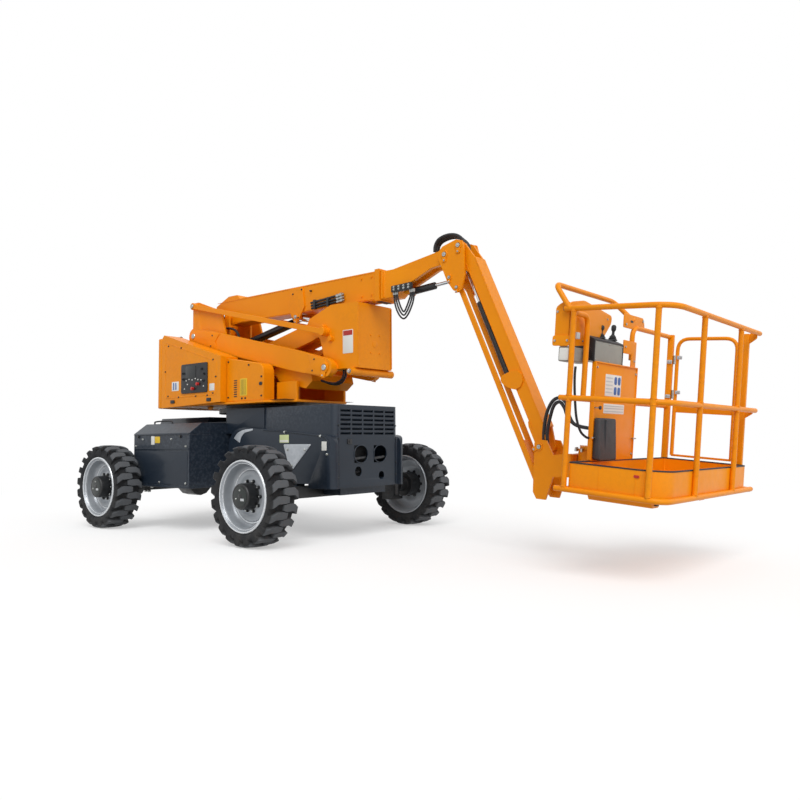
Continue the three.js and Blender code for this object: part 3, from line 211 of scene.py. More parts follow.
paints = {
    # two-pack enamel sprayed on welded steel: smooth, slightly wavy, a soft gloss
    "orangeEnamel": {"colour": "#F49500", "second": "#EE8D00", "patch": 0.5, "rough": 0.4, "roughDrift": 0.05,
                     "coat": 0.04, "specular": 0.2, "grain": 0.0022, "grainDepth": 0.00003, "wave": 0.22,
                     "waveDepth": 0.0012, "wear": "#C4741A", "wearMost": 0.35, "dust": "#A5793F", "dustHeight": 2.6,
                     "dustMost": 0.06},
    # powder coat on folded sheet: darker, satin, fine texture, dust low down
    "navyPowderCoat": {"colour": "#19232F", "second": "#1D2835", "specular": 0.25, "coat": 0.25, "coatRough": 0.16,
                       "patch": 0.5, "rough": 0.44, "roughDrift": 0.03, "grain": 0.0016, "grainDepth": 0.00004,
                       "waveDepth": 0.0008, "wear": "#59616C", "dust": "#77716A",
                       "dustHeight": 1.1, "dustMost": 0.03},
    # tyre compound: dull and dusty; painted highlight pales the lugs' tops, and their edges are paler, partly wear
    # and partly painted highlight
    "tyreRubber": {"colour": "#15171A", "second": "#1C1E22", "raised": "#55585C", "specular": 0.35, "patch": 0.08,
                   "rough": 0.82, "roughDrift": 0.1, "grain": 0.002, "grainDepth": 0.0002, "wave": 0.02,
                   "waveDepth": 0.0006, "wear": "#6C7074", "wearMost": 0.9, "dust": "#6E6A64", "dustHeight": 0.8,
                   "dustMost": 0.3},
    # pressed steel wheel in silver wheel lacquer
    "silverWheelLacquer": {"colour": "#A9AEB3", "second": "#9A9FA5", "patch": 0.12, "rough": 0.36, "roughDrift": 0.08,
                           "metal": 0.35, "grain": 0.001, "grainDepth": 0.00004, "wave": 0.06, "waveDepth": 0.0005,
                           "dust": "#6C665F", "dustHeight": 0.7, "dustMost": 0.2},
    # painted highlight: a paler silver for the rings on the rim's flange and dish, as if they caught the light
    "paintedHighlightSilver": {"colour": "#E2E5E8", "second": "#D2D6DA", "rough": 0.28, "metal": 0.35, "grain": 0.001,
                       "grainDepth": 0.00002, "wave": 0.05, "waveDepth": 0.0003},
    # bare galvanised patch plates
    "galvanisedSheet": {"colour": "#C6CBD1", "second": "#B4BAC1", "patch": 0.03, "rough": 0.38, "metal": 0.3,
                        "grain": 0.002, "grainDepth": 0.00004},
    # black chassis enamel on cast and machined parts
    "blackEnamel": {"colour": "#0E1012", "second": "#15171A", "patch": 0.15, "rough": 0.42, "roughDrift": 0.1,
                    "grain": 0.0025, "grainDepth": 0.00015, "wear": "#4A4C4F", "wearMost": 0.6, "dust": "#6B665F",
                    "dustHeight": 0.8, "dustMost": 0.12},
    # oil-resistant enamel on the wheel drives' covers
    "darkGreenEnamel": {"colour": "#0A1412", "second": "#0F1B18", "patch": 0.06, "rough": 0.35,
                        "wear": "#4A4C4F", "wearMost": 0.4},
    # moulded ABS of control boxes and covers
    "blackAbs": {"colour": "#141518", "second": "#1B1C20", "rough": 0.5, "grain": 0.0009, "grainDepth": 0.00012},
    "greyAbs": {"colour": "#8D8E88", "second": "#99998F", "rough": 0.48, "grain": 0.0009, "grainDepth": 0.0001},
    "darkGreyVinyl": {"colour": "#34373B", "second": "#3D4044", "rough": 0.62, "grain": 0.0012, "grainDepth": 0.0003},
    # hose cover: matt synthetic rubber, faintly wrapped
    "hoseRubber": {"colour": "#15161A", "second": "#1B1C1E", "patch": 0.05, "rough": 0.6, "grain": 0.0012,
                   "grainDepth": 0.00015},
    # zinc-plated fasteners
    "zincPlate": {"colour": "#B9BCBD", "second": "#A2A39C", "patch": 0.02, "rough": 0.3, "metal": 0.95,
                  "grain": 0.0006, "grainDepth": 0.00003, "wave": 0.02, "waveDepth": 0.0001},
    # hard chrome on cylinder rods: near mirror with faint oil
    "hardChrome": {"colour": "#D9DCDE", "second": "#C9CCCE", "patch": 0.06, "rough": 0.12, "roughDrift": 0.05,
                   "metal": 1.0, "grain": 0.0008, "grainDepth": 0.000004, "wave": 0.05, "waveDepth": 0.00005},
    "lightGreyEnamel": {"colour": "#C9CDCF", "second": "#BCC0C3", "rough": 0.4,
                        "dust": "#8A857C", "dustHeight": 1.2, "dustMost": 0.3},
    # vinyl film signs, plain
    "whiteVinyl": {"colour": "#E9E9E4", "second": "#DFDFD9", "rough": 0.42, "grain": 0.0012, "grainDepth": 0.00002},
    "redVinyl": {"colour": "#B3261E", "second": "#A5211A", "rough": 0.42},
    "paleGreenVinyl": {"colour": "#D5DFA6", "second": "#C9D49A", "rough": 0.42},
    "yellowVinyl": {"colour": "#E8C11C", "second": "#DDB516", "rough": 0.42},
    "blueVinyl": {"colour": "#2C5FA8", "second": "#28579B", "rough": 0.42},
    "redPlastic": {"colour": "#C21D17", "second": "#B01812", "rough": 0.3, "grain": 0.0008},
    "darkGlass": {"colour": "#0C1013", "second": "#10161A", "rough": 0.12, "grain": 0.002, "grainDepth": 0.00001},
    "gripStrip": {"colour": "#151617", "second": "#1E1F20", "rough": 0.9, "grain": 0.0014, "grainDepth": 0.0006},
}
materials = {name: surface(name, look) for name, look in paints.items()}
print("stage: materials")


# corner numbers of the four-sided faces of a grid of rows and columns, each row a closed ring
def gridFaces(rows, columns, looped=False):
    r, c = (m.ravel() for m in np.meshgrid(np.arange(rows if looped else rows - 1), np.arange(columns),
        indexing="ij"))
    r1, c1 = (r + 1) % rows, (c + 1) % columns
    return np.stack([r * columns + c, r * columns + c1, r1 * columns + c1, r1 * columns + c], 1)


# One mesh of several grids of points, riding on a body. Each grid's rows are rings: its last row joins
# its first where it is looped, and its two end rows are capped where it is not.
def addPiece(name, grids, body, finish="orangeEnamel", place=None, angle=35, looped=False, instead=()):
    place = place or placeOf.get(body, toFrame)
    points, faces, start = [], [], 0
    for grid in grids:
        rows, columns = grid.shape[:2]
        points.append(place(grid).reshape(-1, 3))
        faces += (gridFaces(rows, columns, looped) + start).tolist()
        if not looped:
            faces.append(list(range(start + columns - 1, start - 1, -1)))
            faces.append(list(range(start + (rows - 1) * columns, start + rows * columns)))
        start += rows * columns
    mesh = bpy.data.meshes.new(name)
    mesh.from_pydata(np.concatenate(points).tolist(), [], faces)
    mendMesh(mesh, 1e-6, outwards=True)
    return finishPiece(name, mesh, body, finish, angle, 0, instead)


# joins points closer than "apart" metres, and may turn the faces outwards or merge flat faces into one
def mendMesh(mesh, apart, outwards=False, merged=False):
    shell = bmesh.new()
    shell.from_mesh(mesh)
    bmesh.ops.remove_doubles(shell, verts=shell.verts, dist=apart)
    if outwards:
        bmesh.ops.recalc_face_normals(shell, faces=shell.faces)
    if merged:
        bmesh.ops.dissolve_limit(shell, angle_limit=math.radians(1), verts=shell.verts, edges=shell.edges)
    shell.to_mesh(mesh)
    shell.free()


def finishPiece(name, mesh, body, finish, angle=35, bevel=0, instead=()):
    piece = bpy.data.objects.new(name, mesh)
    bpy.context.scene.collection.objects.link(piece)
    mesh.materials.append(materials[finish])
    mesh.polygons.foreach_set("use_smooth", np.ones(len(mesh.polygons), bool))
    mesh.set_sharp_from_angle(angle=math.radians(angle))
    if bevel:
        rounding = piece.modifiers.new("bevel", "BEVEL")
        rounding.width = bevel
        rounding.segments = 2
        rounding.limit_method = "ANGLE"
        rounding.angle_limit = math.radians(30)
        rounding.harden_normals = False
    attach(piece, body)
    if instead:
        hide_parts(*instead)
    return piece


# rounds each corner of an open or closed line with a curve that starts "radius" before the corner
def roundCorners(points, radius, steps=5, closed=True):
    p = np.asarray(points, float)
    back, ahead = np.roll(p, 1, 0) - p, np.roll(p, -1, 0) - p
    backLength = np.linalg.norm(back, axis=1, keepdims=True)
    aheadLength = np.linalg.norm(ahead, axis=1, keepdims=True)
    wanted = np.broadcast_to(np.asarray(radius, float).reshape(-1, 1), backLength.shape)
    reach = np.minimum(wanted, np.minimum(backLength, aheadLength) * 0.48)
    if not closed:
        reach[[0, -1]] = 0
    a, b = p + back / backLength * reach, p + ahead / aheadLength * reach
    t = np.linspace(0, 1, steps)[None, :, None]
    curve = (1 - t) ** 2 * a[:, None] + 2 * t * (1 - t) * p[:, None] + t ** 2 * b[:, None]
    if closed:
        return curve.reshape(-1, p.shape[1])
    return np.concatenate([p[:1], curve[1:-1].reshape(-1, p.shape[1]), p[-1:]])


# How far each corner of a closed outline moves when its edges move outwards by 1: the sum of the two
# edges' normals / (1 + their dot product), which is held above "least" at sharp corners.
def outwardShift(p, least):
    ahead = np.roll(p, -1, 0) - p
    normal = np.stack([ahead[:, 1], -ahead[:, 0]], 1)
    normal /= np.maximum(np.linalg.norm(normal, axis=1, keepdims=True), 1e-9)
    area = (p[:, 0] * np.roll(p[:, 1], -1) - p[:, 1] * np.roll(p[:, 0], -1)).sum()
    normal = -normal if area < 0 else normal
    previous = np.roll(normal, 1, 0)
    return (normal + previous) / np.maximum(1 + (normal * previous).sum(1, keepdims=True), least)


# A plate with rounded rims: its outline is carried from one face to the other along two quarter
# circles of the rim's radius, moving in along each corner's bisector. Axes order by "lie".
def plateGrid(outline, low, high, rim=4, lie="xz"):
    p = np.asarray(outline, float)
    turn = np.linspace(0, math.pi / 2, 4)
    inset, sunk = rim * (1 - np.sin(turn)), rim * (1 - np.cos(turn))
    inset = np.concatenate([inset, inset[::-1]])
    depth = np.concatenate([low + sunk, high - sunk[::-1]])
    ring = p[None] - outwardShift(p, 0.35)[None] * inset[:, None, None]
    across = np.broadcast_to(depth[:, None], ring.shape[:2])
    u, v = ring[..., 0], ring[..., 1]
    return np.stack({"xz": (u, across, v), "xy": (u, v, across), "yz": (across, u, v)}[lie], -1)


def rectangle(u0, u1, v0, v1, radius=0, steps=4):
    corners = [[u0, v0], [u1, v0], [u1, v1], [u0, v1]]
    return roundCorners(corners, radius, steps) if radius else np.array(corners, float)


# A tube along a path: circles square to the path, each started from one fixed side direction,
# the one along which the path varies least.
def tubeGrid(path, radius, sides=12):
    path = np.asarray(path, float)
    tangent = np.gradient(path, axis=0)
    tangent /= np.linalg.norm(tangent, axis=1, keepdims=True)
    side = np.linalg.svd(path - path.mean(0), full_matrices=True)[2][2]
    first = np.cross(side, tangent)
    first /= np.linalg.norm(first, axis=1, keepdims=True)
    second = np.cross(tangent, first)
    t = np.linspace(0, 2 * math.pi, sides, endpoint=False)[None, :, None]
    return path[:, None] + radius * (np.cos(t) * first[:, None] + np.sin(t) * second[:, None])


# smooth spans (Catmull-Rom) between the rows of points from the second to the last but one
def spans(p, steps):
    t = np.linspace(0, 1, steps, endpoint=False)[None, :, None]
    a, b, c, d = (p[i:len(p) - 3 + i, None] for i in range(4))
    curve = 0.5 * (2 * b + (c - a) * t + (2 * a - 5 * b + 4 * c - d) * t ** 2 + (3 * b - a - 3 * c + d) * t ** 3)
    return curve.reshape(-1, p.shape[1])


# a smooth curve through the given points, "steps" to each span
def flow(points, steps=8):
    p = np.asarray(points, float)
    return np.concatenate([spans(np.concatenate([2 * p[:1] - p[1:2], p, 2 * p[-1:] - p[-2:-1]]), steps), p[-1:]])


# A turned part: rows of (along, radius) spun about an axis that starts at "centre".
def turnedGrid(profile, centre, axis, sides=24):
    profile = np.asarray(profile, float)
    axis = np.asarray(axis, float) / np.linalg.norm(axis)
    side = np.cross(axis, [0.3, 0.2, 0.93])
    side /= np.linalg.norm(side)
    t = np.linspace(0, 2 * math.pi, sides, endpoint=False)[:, None]
    ring = np.cos(t) * side + np.sin(t) * np.cross(axis, side)
    return np.asarray(centre, float) + profile[:, None, :1] * axis + profile[:, None, 1:2] * ring[None]


# Hexagon-headed bolts with washers: a turned shape whose head rows have the radius of a hexagon,
# flat / cos(angle from the nearest flat). "size" is the width across the head.
def boltGrids(places, axis, size=24):
    axis = np.asarray(axis, float) / np.linalg.norm(axis)
    rows = np.array([[-1, 0.62], [0.1, 0.62], [0.14, 0.6], [0.14, 0.5], [0.5, 0.5], [0.56, 0.44]]) * size
    grid = turnedGrid(rows, (0, 0, 0), axis, 12)
    t = np.linspace(0, 2 * math.pi, 12, endpoint=False)
    hexagon = math.cos(math.pi / 6) / np.cos((t + math.pi / 6) % (math.pi / 3) - math.pi / 6)
    along = (grid @ axis)[..., None] * axis
    grid[3:] = along[3:] + (grid[3:] - along[3:]) * hexagon[None, :, None]
    return [grid + np.asarray(p, float) for p in places]


def addTubes(name, paths, radius, body, finish="orangeEnamel", place=None, sides=14, instead=()):
    return addPiece(name, [tubeGrid(p, radius, sides) for p in paths], body, finish, place, 40, instead=instead)


def addPlates(name, plates, body, finish="orangeEnamel", place=None, instead=()):
    return addPiece(name, [plateGrid(*plate) for plate in plates], body, finish, place, instead=instead)


def addBolts(name, places, axis, body, size=24, finish="zincPlate", place=None):
    return addPiece(name, boltGrids(places, axis, size), body, finish, place, 30)


# bolts written for the right side, and their copies on the left
def addBoltPair(name, places, body, size=24, finish="zincPlate", place=None):
    addBolts(name + "_right", places, (0, -1, 0), body, size, finish, place)
    addBolts(name + "_left", [[x, -y, z] for x, y, z in places], (0, 1, 0), body, size, finish, place)


def addTurned(name, profile, centres, axis, body, finish="orangeEnamel", sides=24, place=None, angle=35,
    looped=False):
    grids = [turnedGrid(profile, centre, axis, sides) for centre in centres]
    return addPiece(name, grids, body, finish, place, angle, looped)


# The CAD solid again with its corners broken by a small bevel, as folded, flame-cut or cast edges are.
def soften(node, body, finish, width, merged):
    mesh = frame["nodes"][node].data.copy()
    mesh.name = "soft_" + node
    mesh.materials.clear()
    mendMesh(mesh, 1e-5, merged=merged)
    return finishPiece("soft_" + node, mesh, body, finish, 28, width, (node,))


# Hoses: each follows a smooth curve through its points; a hose over one joint is left loose in the frame, riding on
# no body.
hoseLook = {"sides": 12, "steps": 5}


def makeHose(name, points, radius, body, blended=None, place=None):
    sides = hoseLook["sides"]
    route = (place or placeOf.get(body, toFrame))(flow(points, hoseLook["steps"]))
    grid = tubeGrid(route * 1000, radius, sides) / 1000
    mesh = bpy.data.meshes.new(name)
    faces = gridFaces(*grid.shape[:2]).tolist()
    faces.append(list(range(sides - 1, -1, -1)))
    faces.append(list(range((len(grid) - 1) * sides, len(grid) * sides)))
    mesh.from_pydata(grid.reshape(-1, 3).tolist(), [], faces)
    if blended:
        piece = bpy.data.objects.new(name, mesh)
        bpy.context.scene.collection.objects.link(piece)
        mesh.materials.append(materials["hoseRubber"])
        mesh.polygons.foreach_set("use_smooth", np.ones(len(mesh.polygons), bool))
        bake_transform(piece)
    else:
        mendMesh(mesh, 1e-6, outwards=True)
        piece = finishPiece(name, mesh, body, "hoseRubber", 50)


def makeHoses():
    # nested loops under the boom's neck
    for number in range(3):
        inward, rise = number * 20, number * 30
        makeHose(f"neck_loop_{number + 1}", [(1874 + inward, -90, 2162), (1876 + inward, -91, 2110),
            (1894 + inward, -91, 2020 + rise / 2), (1936 + inward / 2, -90, 1940 + rise), (1984, -89, 1908 + rise),
            (2032 - inward / 2, -89, 1944 + rise), (2078 - inward, -88, 2028 + rise / 2), (2096 - inward, -88, 2100),
            (2098 - inward, -88, 2146)], 7.5, "fly_boom")
    # arch over the neck's joint
    for number, y in enumerate((-60, -32, -4)):
        makeHose(f"neck_arch_{number + 1}", [(2296, y, 2440), (2302, y, 2492), (2340, y, 2540 - 6 * number),
            (2420, y, 2560 - 8 * number), (2500, y, 2551 - 8 * number), (2562, y, 2517 - 8 * number), (2600, y, 2460),
            (2612, y, 2410)], 12, "fly_boom", "jib_head_bracket")
    # slack loops where the tower's hoses turn up to the boom's lift cylinder
    for number, y in enumerate((-164, -186)):
        bulge = 14 * number
        makeHose(f"tower_loop_{number + 1}", [(-342, y, 2050), (-290, y, 2046), (-205 + bulge, y, 2010),
            (-158 + bulge, y, 1938), (-190 + 12 * number, y, 1862), (-270, y, 1826), (-342, y, 1820)], 11,
            "boom_post")
    # thick loops from the jib's bracket up and over to the back of the platform's panel
    for number in range(2):
        inward = number * 30
        route = [(-305 + inward, -80, 220), (-318 + inward, -80, 330), (-304 + inward, -80, 470 - inward),
            (-262 + inward / 2, -80, 566 - inward), (-200, -82, 596 - inward), (-140 - inward / 2, -88, 556 - inward),
            (-104 - inward / 2, -104, 470), (-40, -134, 412), (80, -164, 394), (190, -172 - inward, 400),
            (260, -174 - inward, 404)]
        makeHose(f"rotator_loop_{number + 1}", route, 13, "platform_bracket", "platform", toPlatform)
    # the foot switch's cable beside the bent tube
    makeHose("switch_cable", [(214, -640, 790), (212, -640, 740), (206, -622, 660), (208, -606, 560),
        (216, -590, 460), (232, -560, 380), (250, -520, 345), (259, -494, 338)], 8, "platform")
    # hoses that drop from the lower arm's cross box to the knuckle
    for number, y in enumerate((-158, -128)):
        makeHose(f"knee_loop_{number + 1}", [(898, y, 1368), (906, y, 1408), (944, y, 1436), (1010, y, 1432),
            (1110, y, 1404 - 8 * number), (1210, y, 1388 - 9 * number), (1280, y, 1404 - 8 * number), (1320, y, 1436),
            (1332, y, 1470), (1334, y, 1504)], 10, "lower_arm", "riser_knuckle", toFrame)


makeHoses()
print("stage: hoses")

# frame pieces that keep their shape, with the width in metres of their broken corners
softened = {"orangeEnamel": {"turntable_frame": 0.003, "counterweight": 0.012, "lower_arm": 0.003,
    "tie_link_left": 0.003, "tie_link_right": 0.003, "riser_knuckle": 0.004, "upper_arm": 0.003, "upper_link": 0.003,
    "boom_post": 0.003, "main_boom": 0.005, "fly_boom": 0.005, "jib_head_bracket": 0.003, "jib_beam": 0.005,
    "jib_link": 0.003, "platform_bracket": 0.003, "rotator_mount": 0.003, "side_panel_left": 0.008,
    "side_panel_right": 0.008, "hood_left": 0.005, "hood_right": 0.005},
    "navyPowderCoat": {"chassis_frame": 0.004, "front_housing": 0.004, "side_box_left": 0.004,
    "side_box_right": 0.004, "side_box_lid_left": 0.004, "side_box_lid_right": 0.004},
    "blackEnamel": {"rear_axle": 0.003, "front_axle": 0.003, "steering_knuckle_left": 0.003,
    "steering_knuckle_right": 0.003, "slewing_ring": 0.003, "power_block": 0.006, "battery_pack_left": 0.006,
    "battery_pack_right": 0.006, "boom_ram_barrel": 0.002, "levelling_ram_barrel": 0.0015, "jib_ram_barrel": 0.0015,
    "riser_ram_left_barrel": 0.002, "riser_ram_right_barrel": 0.002}, "hardChrome": {"boom_ram_rod": 0.001,
    "levelling_ram_rod": 0.001, "jib_ram_rod": 0.001, "riser_ram_left_rod": 0.001, "riser_ram_right_rod": 0.001},}


def softenPieces():
    bodyOf = {node: body for body, nodes in frame["record"]["behaviour"]["bodies"].items() for node in nodes}
    for finish, nodes in softened.items():
        for node, width in nodes.items():
            soften(node, bodyOf[node], finish, width, node not in ("front_housing", "chassis_frame"))


softenPieces()
print("stage: frame pieces softened")

wheel = {
    "around": 600,           # points round the tyre
    "lugs": 20,              # lugs on each side of the middle
    "lugShare": 0.235,       # half of a lug's share of the pitch
    "lean": 0.38,            # how far a lug's shoulder end lies from its straight middle, in pitches
    "past": 0.23,            # how far a lug runs past the middle, as a share of the half width
    "halfWidth": 128,
    "nuts": 10, "nutCircle": 126,
}
# half sections (across, radius) of the tyre, from the bead to the middle of the tread: in a void, on a lug
voidRows = [[-100, 297], [-110, 299], [-121, 311], [-127, 326], [-129, 344], [-124, 358], [-112, 369], [-92, 375],
    [-62, 380], [-32, 383], [-8, 384]]
lugRows = [[-100, 297], [-110, 299], [-121, 311], [-127, 326], [-131, 344], [-133, 370], [-130, 401], [-101, 411],
    [-66, 415], [-32, 416.4], [-8, 416.4]]


# The tyre is a closed section carried round its axle. Each section point lies between a low place
# in the void and a high place on the lug: low + (high - low) * lug(angle, across). A lug runs straight
# across the middle and bends over towards the shoulder; the two sides are half a pitch apart. Gives the
# points and how far each one is up a lug, 0 to 1.
def tyreGrid(centre, radius):
    sections = []
    for half in (np.array(voidRows, float), np.array(lugRows, float)):
        ring = np.concatenate([half, half[::-1] * [-1, 1], [[60, 298], [-60, 298]]])
        sections.append(spans(np.concatenate([ring[-1:], ring, ring[:2]]), 3))
    low, high = sections
    rows = np.linspace(0, 2 * math.pi, wheel["around"], endpoint=False)[:, None]
    pitch = 2 * math.pi / wheel["lugs"]
    width, past = wheel["halfWidth"], wheel["past"]
    # the grid itself bends with the lugs, so that their edges follow its rows
    turn = rows + wheel["lean"] * pitch * np.clip((1 - np.abs(low[None, :, 0]) / width) / 0.38, 0, 1)
    smooth = lambda x: np.clip(x, 0, 1) ** 2 * (3 - 2 * np.clip(x, 0, 1))
    lug = np.zeros((wheel["around"], len(low)))
    for side in (-1, 1):
        across = side * low[None, :, 0] / width
        place = rows / pitch + (0.5 if side > 0 else 0)
        inside = np.abs((place + 1e-6) % 1 - 0.5) < wheel["lugShare"] - 0.05 * np.clip(-across / past, 0, 1)
        lug = np.maximum(lug, inside * smooth((across + past + 0.04) / 0.08))
    lug *= (low[None, :, 1] > 335)
    section = low[None] + (high - low)[None] * lug[..., None]
    y, r = section[..., 0], section[..., 1] * radius / high[:, 1].max()
    return centre + np.stack([r * np.cos(turn), y, r * np.sin(turn)], -1), lug * smooth((section[..., 1] - 392) / 14)


# rows of (along the axle, radius) of a wheel's pressed rim, outwards positive
rimRows = [[118, 297], [123, 293], [124, 287], [119, 282], [110, 280], [106, 275], [108, 269], [102, 264], [88, 262],
    [60, 258], [40, 252], [26, 244], [18, 234], [16, 222], [22, 214], [26, 206], [22, 198], [18, 190], [20, 164],
    [27, 154], [30, 140], [30, 40], [20, 40], [18, 140], [10, 160], [6, 190], [4, 232], [-4, 248], [-20, 256],
    [-70, 262], [-94, 272], [-108, 280], [-118, 284], [-122, 291], [-118, 297], [-100, 295.5], [100, 295.5]]
# rings of the flange and of the dish, drawn again in a paler silver as a painted highlight
flangeRows = [[[116, 299], [123, 296], [126, 291], [124, 285], [118, 283]],
    [[104, 274], [109, 272], [110, 268], [106, 265], [101, 266]], [[20, 226], [25, 224], [26, 219], [23, 215],
    [18, 216]]]
hubRows = [[26, 112], [38, 112], [40, 108], [128, 107], [136, 104], [141, 97], [142, 90], [139, 86], [139, 30],
    [142, 26], [143, 6]]
capRows = [[138, 84], [141, 83], [142, 78], [142, 8]]


def makeWheel(end, name):
    corners = [np.array(c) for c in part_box(f"tyre_{end}_{name}")]
    at = (corners[0] + corners[1]) / 2 * 1000
    tag, body = f"{end}_{name}", f"wheel_{end}_{name}"
    side = 1 if name == "left" else -1
    axis = (0, side, 0)
    grid, top = tyreGrid(at, at[2])
    tread = addPiece(f"tread_{tag}", [grid], body, "tyreRubber", angle=40, looped=True, instead=(f"tyre_{tag}",))
    # how far each point is up a lug, which paints a highlight on the lugs' tops
    raised = tread.data.attributes.new("raised", "FLOAT", "POINT")
    raised.data.foreach_set("value", top.ravel().astype(np.float32))
    addPiece(f"wheel_disc_{tag}", [turnedGrid(rimRows, at, axis, 72)], body, "silverWheelLacquer", angle=40,
        looped=True, instead=(f"rim_{tag}",))
    # the flange's and dish's rings in a paler silver, a painted highlight
    addPiece(f"rim_rings_{tag}", [turnedGrid(rows, at, axis, 72) for rows in flangeRows], body, "paintedHighlightSilver",
        angle=50, looped=True)
    addTurned(f"hub_{tag}", hubRows, [at], axis, body, "blackEnamel", 48)
    t = np.arange(wheel["nuts"]) * 2 * math.pi / wheel["nuts"]
    ring = at + wheel["nutCircle"] * np.stack([np.cos(t), 0 * t, np.sin(t)], 1)
    addBolts(f"wheel_nuts_{tag}", ring + [0, side * 33, 0], axis, body, 25, "blackEnamel")
    addTurned(f"wheel_studs_{tag}", [[20, 8], [52, 8], [55, 6], [56, 2]], ring, axis, body, "zincPlate", 10)
    addTurned(f"hub_face_{tag}", capRows, [at], axis, body, "darkGreenEnamel", 40)
    addBolts(f"hub_plugs_{tag}", [at + [u, side * 142, v] for u, v in ((0, 52), (-46, -18))], axis, body, 13)
    plate = rectangle(at[0] + 8, at[0] + 52, at[2] - 34, at[2] - 14, 3)
    faces = sorted((at[1] + side * 141, at[1] + side * 144))
    addPlates(f"hub_plate_{tag}", [(plate, *faces, 0.8)], body, "lightGreyEnamel")
    stem = at + [150, side * 20, 152]
    addTubes(f"valve_{tag}", [[stem, stem + [4, side * 22, 4], stem + [9, side * 44, 9]]], 4, body, "zincPlate",
        sides=8)


for end in ("front", "rear"):
    for name in ("left", "right"):
        makeWheel(end, name)
print("stage: wheels")

# the platform's rails, tray and gate, in its own axes
cage = {
    "rear": 247, "front": 881, "half": 761, "top": 1144, "middle": 587, "low": 20, "tube": 17.5,
    "railStart": 183,        # the rails run on behind the rear posts
    "leftEnd": 811,          # and past the left side
    "trayHeight": 190, "trayCorner": 120, "gateTube": 14,
}


def makeCage():
    x0, x1, y, r = cage["rear"], cage["front"], cage["half"], cage["tube"]
    low, mid, top, out = cage["low"], cage["middle"], cage["top"], cage["leftEnd"]
    bent = lambda points, bend: roundCorners(points, bend, 8, closed=False)
    paths = [bent([[cage["railStart"], -y, z], [x1, -y, z], [x1, out, z]], bend) for z,
        bend in ((low, 110), (mid, 150), (top, 150))]
    paths.append(np.array([[x0 + 5, y, low], [x1 + 8, y, low]]))
    paths.append(np.array([[x0, -y, low], [x0, y + 10, low]]))
    for px, py in ((x0, -y), (x1 - 96, -y), (x1, -290), (x1, 405)):
        paths.append(np.array([[px, py, low], [px, py, top - 2]]))
    paths.append(bent([[x0, y, top - 22], [x0, 90, top - 22], [x0, 90, mid + 305]], 80))
    paths.append(np.array([[x0, -y, mid], [x0, y, mid]]))
    paths.append(bent([[x0, -y, top - 26], [x0, -575, top - 26], [x0, -580, mid]], 60))
    paths.append(bent([[x0 - 30, -y, top], [105, -y, 1304], [105, 60, 1304], [x0, 100, 1164]], 60))
    addTubes("guard_rails", paths, r, "platform", sides=18, instead=("platform_frame",))
    # square posts each side of the gateway, and the gussets that hold the rails' ends
    posts = [(rectangle(237, 281, y - 15, y + 15, 5), low, top - 6, 3, "xy"),
        (rectangle(784, 830, y - 15, y + 15, 5), low, top - 6, 3, "xy"),
        (roundCorners([[829, top - 80], [829, top - 2], [x1, top - 2], [x1, top - 40]], 8, 4), y - 4, y + 4, 1.5),
        (roundCorners([[829, mid - 60], [829, mid + 4], [x1, mid + 4], [x1, mid - 24]], 8, 4), y - 4, y + 4, 1.5),
        (roundCorners([[-60, 1106], [-60, 1204], [248, 1204], [275, 1160], [275, 1106]], 14, 4), 243, 251, 2, "yz")]
    addPlates("gateway_posts", posts, "platform")
    # a bead of weld round each post where it meets a rail
    beads = []
    turn = np.linspace(0, 2 * math.pi, 9)
    bead = np.stack([3.4 * np.cos(turn), r + 3.4 * np.sin(turn)], 1)[:-1]
    for px, py in ((x0, -y), (x1 - 96, -y), (x1, -290), (x1, 405)):
        for z in (low + r + 1, mid - r - 1, mid + r + 1, top - r - 1):
            beads.append(turnedGrid(bead, (px, py, z), (0, 0, 1), 16))
    for z in (low, mid):
        beads.append(turnedGrid(bead, (x0, -y + r + 1, z), (0, 1, 0), 16))
        beads.append(turnedGrid(bead, (x0, y - r - 1, z), (0, 1, 0), 16))
    addPiece("rail_welds", beads, "platform", angle=60, looped=True)
    # plugs in the open tube ends
    start = cage["railStart"]
    ends = [((start, -y, z), (-1, 0, 0)) for z in (low, mid, top)]
    ends += [((x1, out, z), (0, 1, 0)) for z in (low, mid, top)] + [((x0, 90, mid + 305), (0, 0, -1))]
    rows = [[-6, r - 2.5], [0.5, r - 2.5], [0.6, r - 0.5], [2.6, r - 0.5], [4, r - 2], [4.6, r - 7]]
    addPiece("rail_plugs", [turnedGrid(rows, at, way, 18) for at, way in ends], "platform", "blackAbs")
    lugs = [(rectangle(279, 298, z - 32, z + 32, 3), y + 2, y + 9, 2) for z in (679, 945)]
    addPlates("gate_lugs", lugs, "platform")
    slot = [(rectangle(38, 84, 1150, 1166, 8), 251, 252.2, 0.4, "yz")]
    addPlates("hoop_plate_slot", slot, "platform", "blackAbs")
    addBolts("hoop_plate_bolts", [[242, 240, 1180], [242, -30, 1130], [242, 200, 1130]], (-1, 0, 0), "platform", 15)


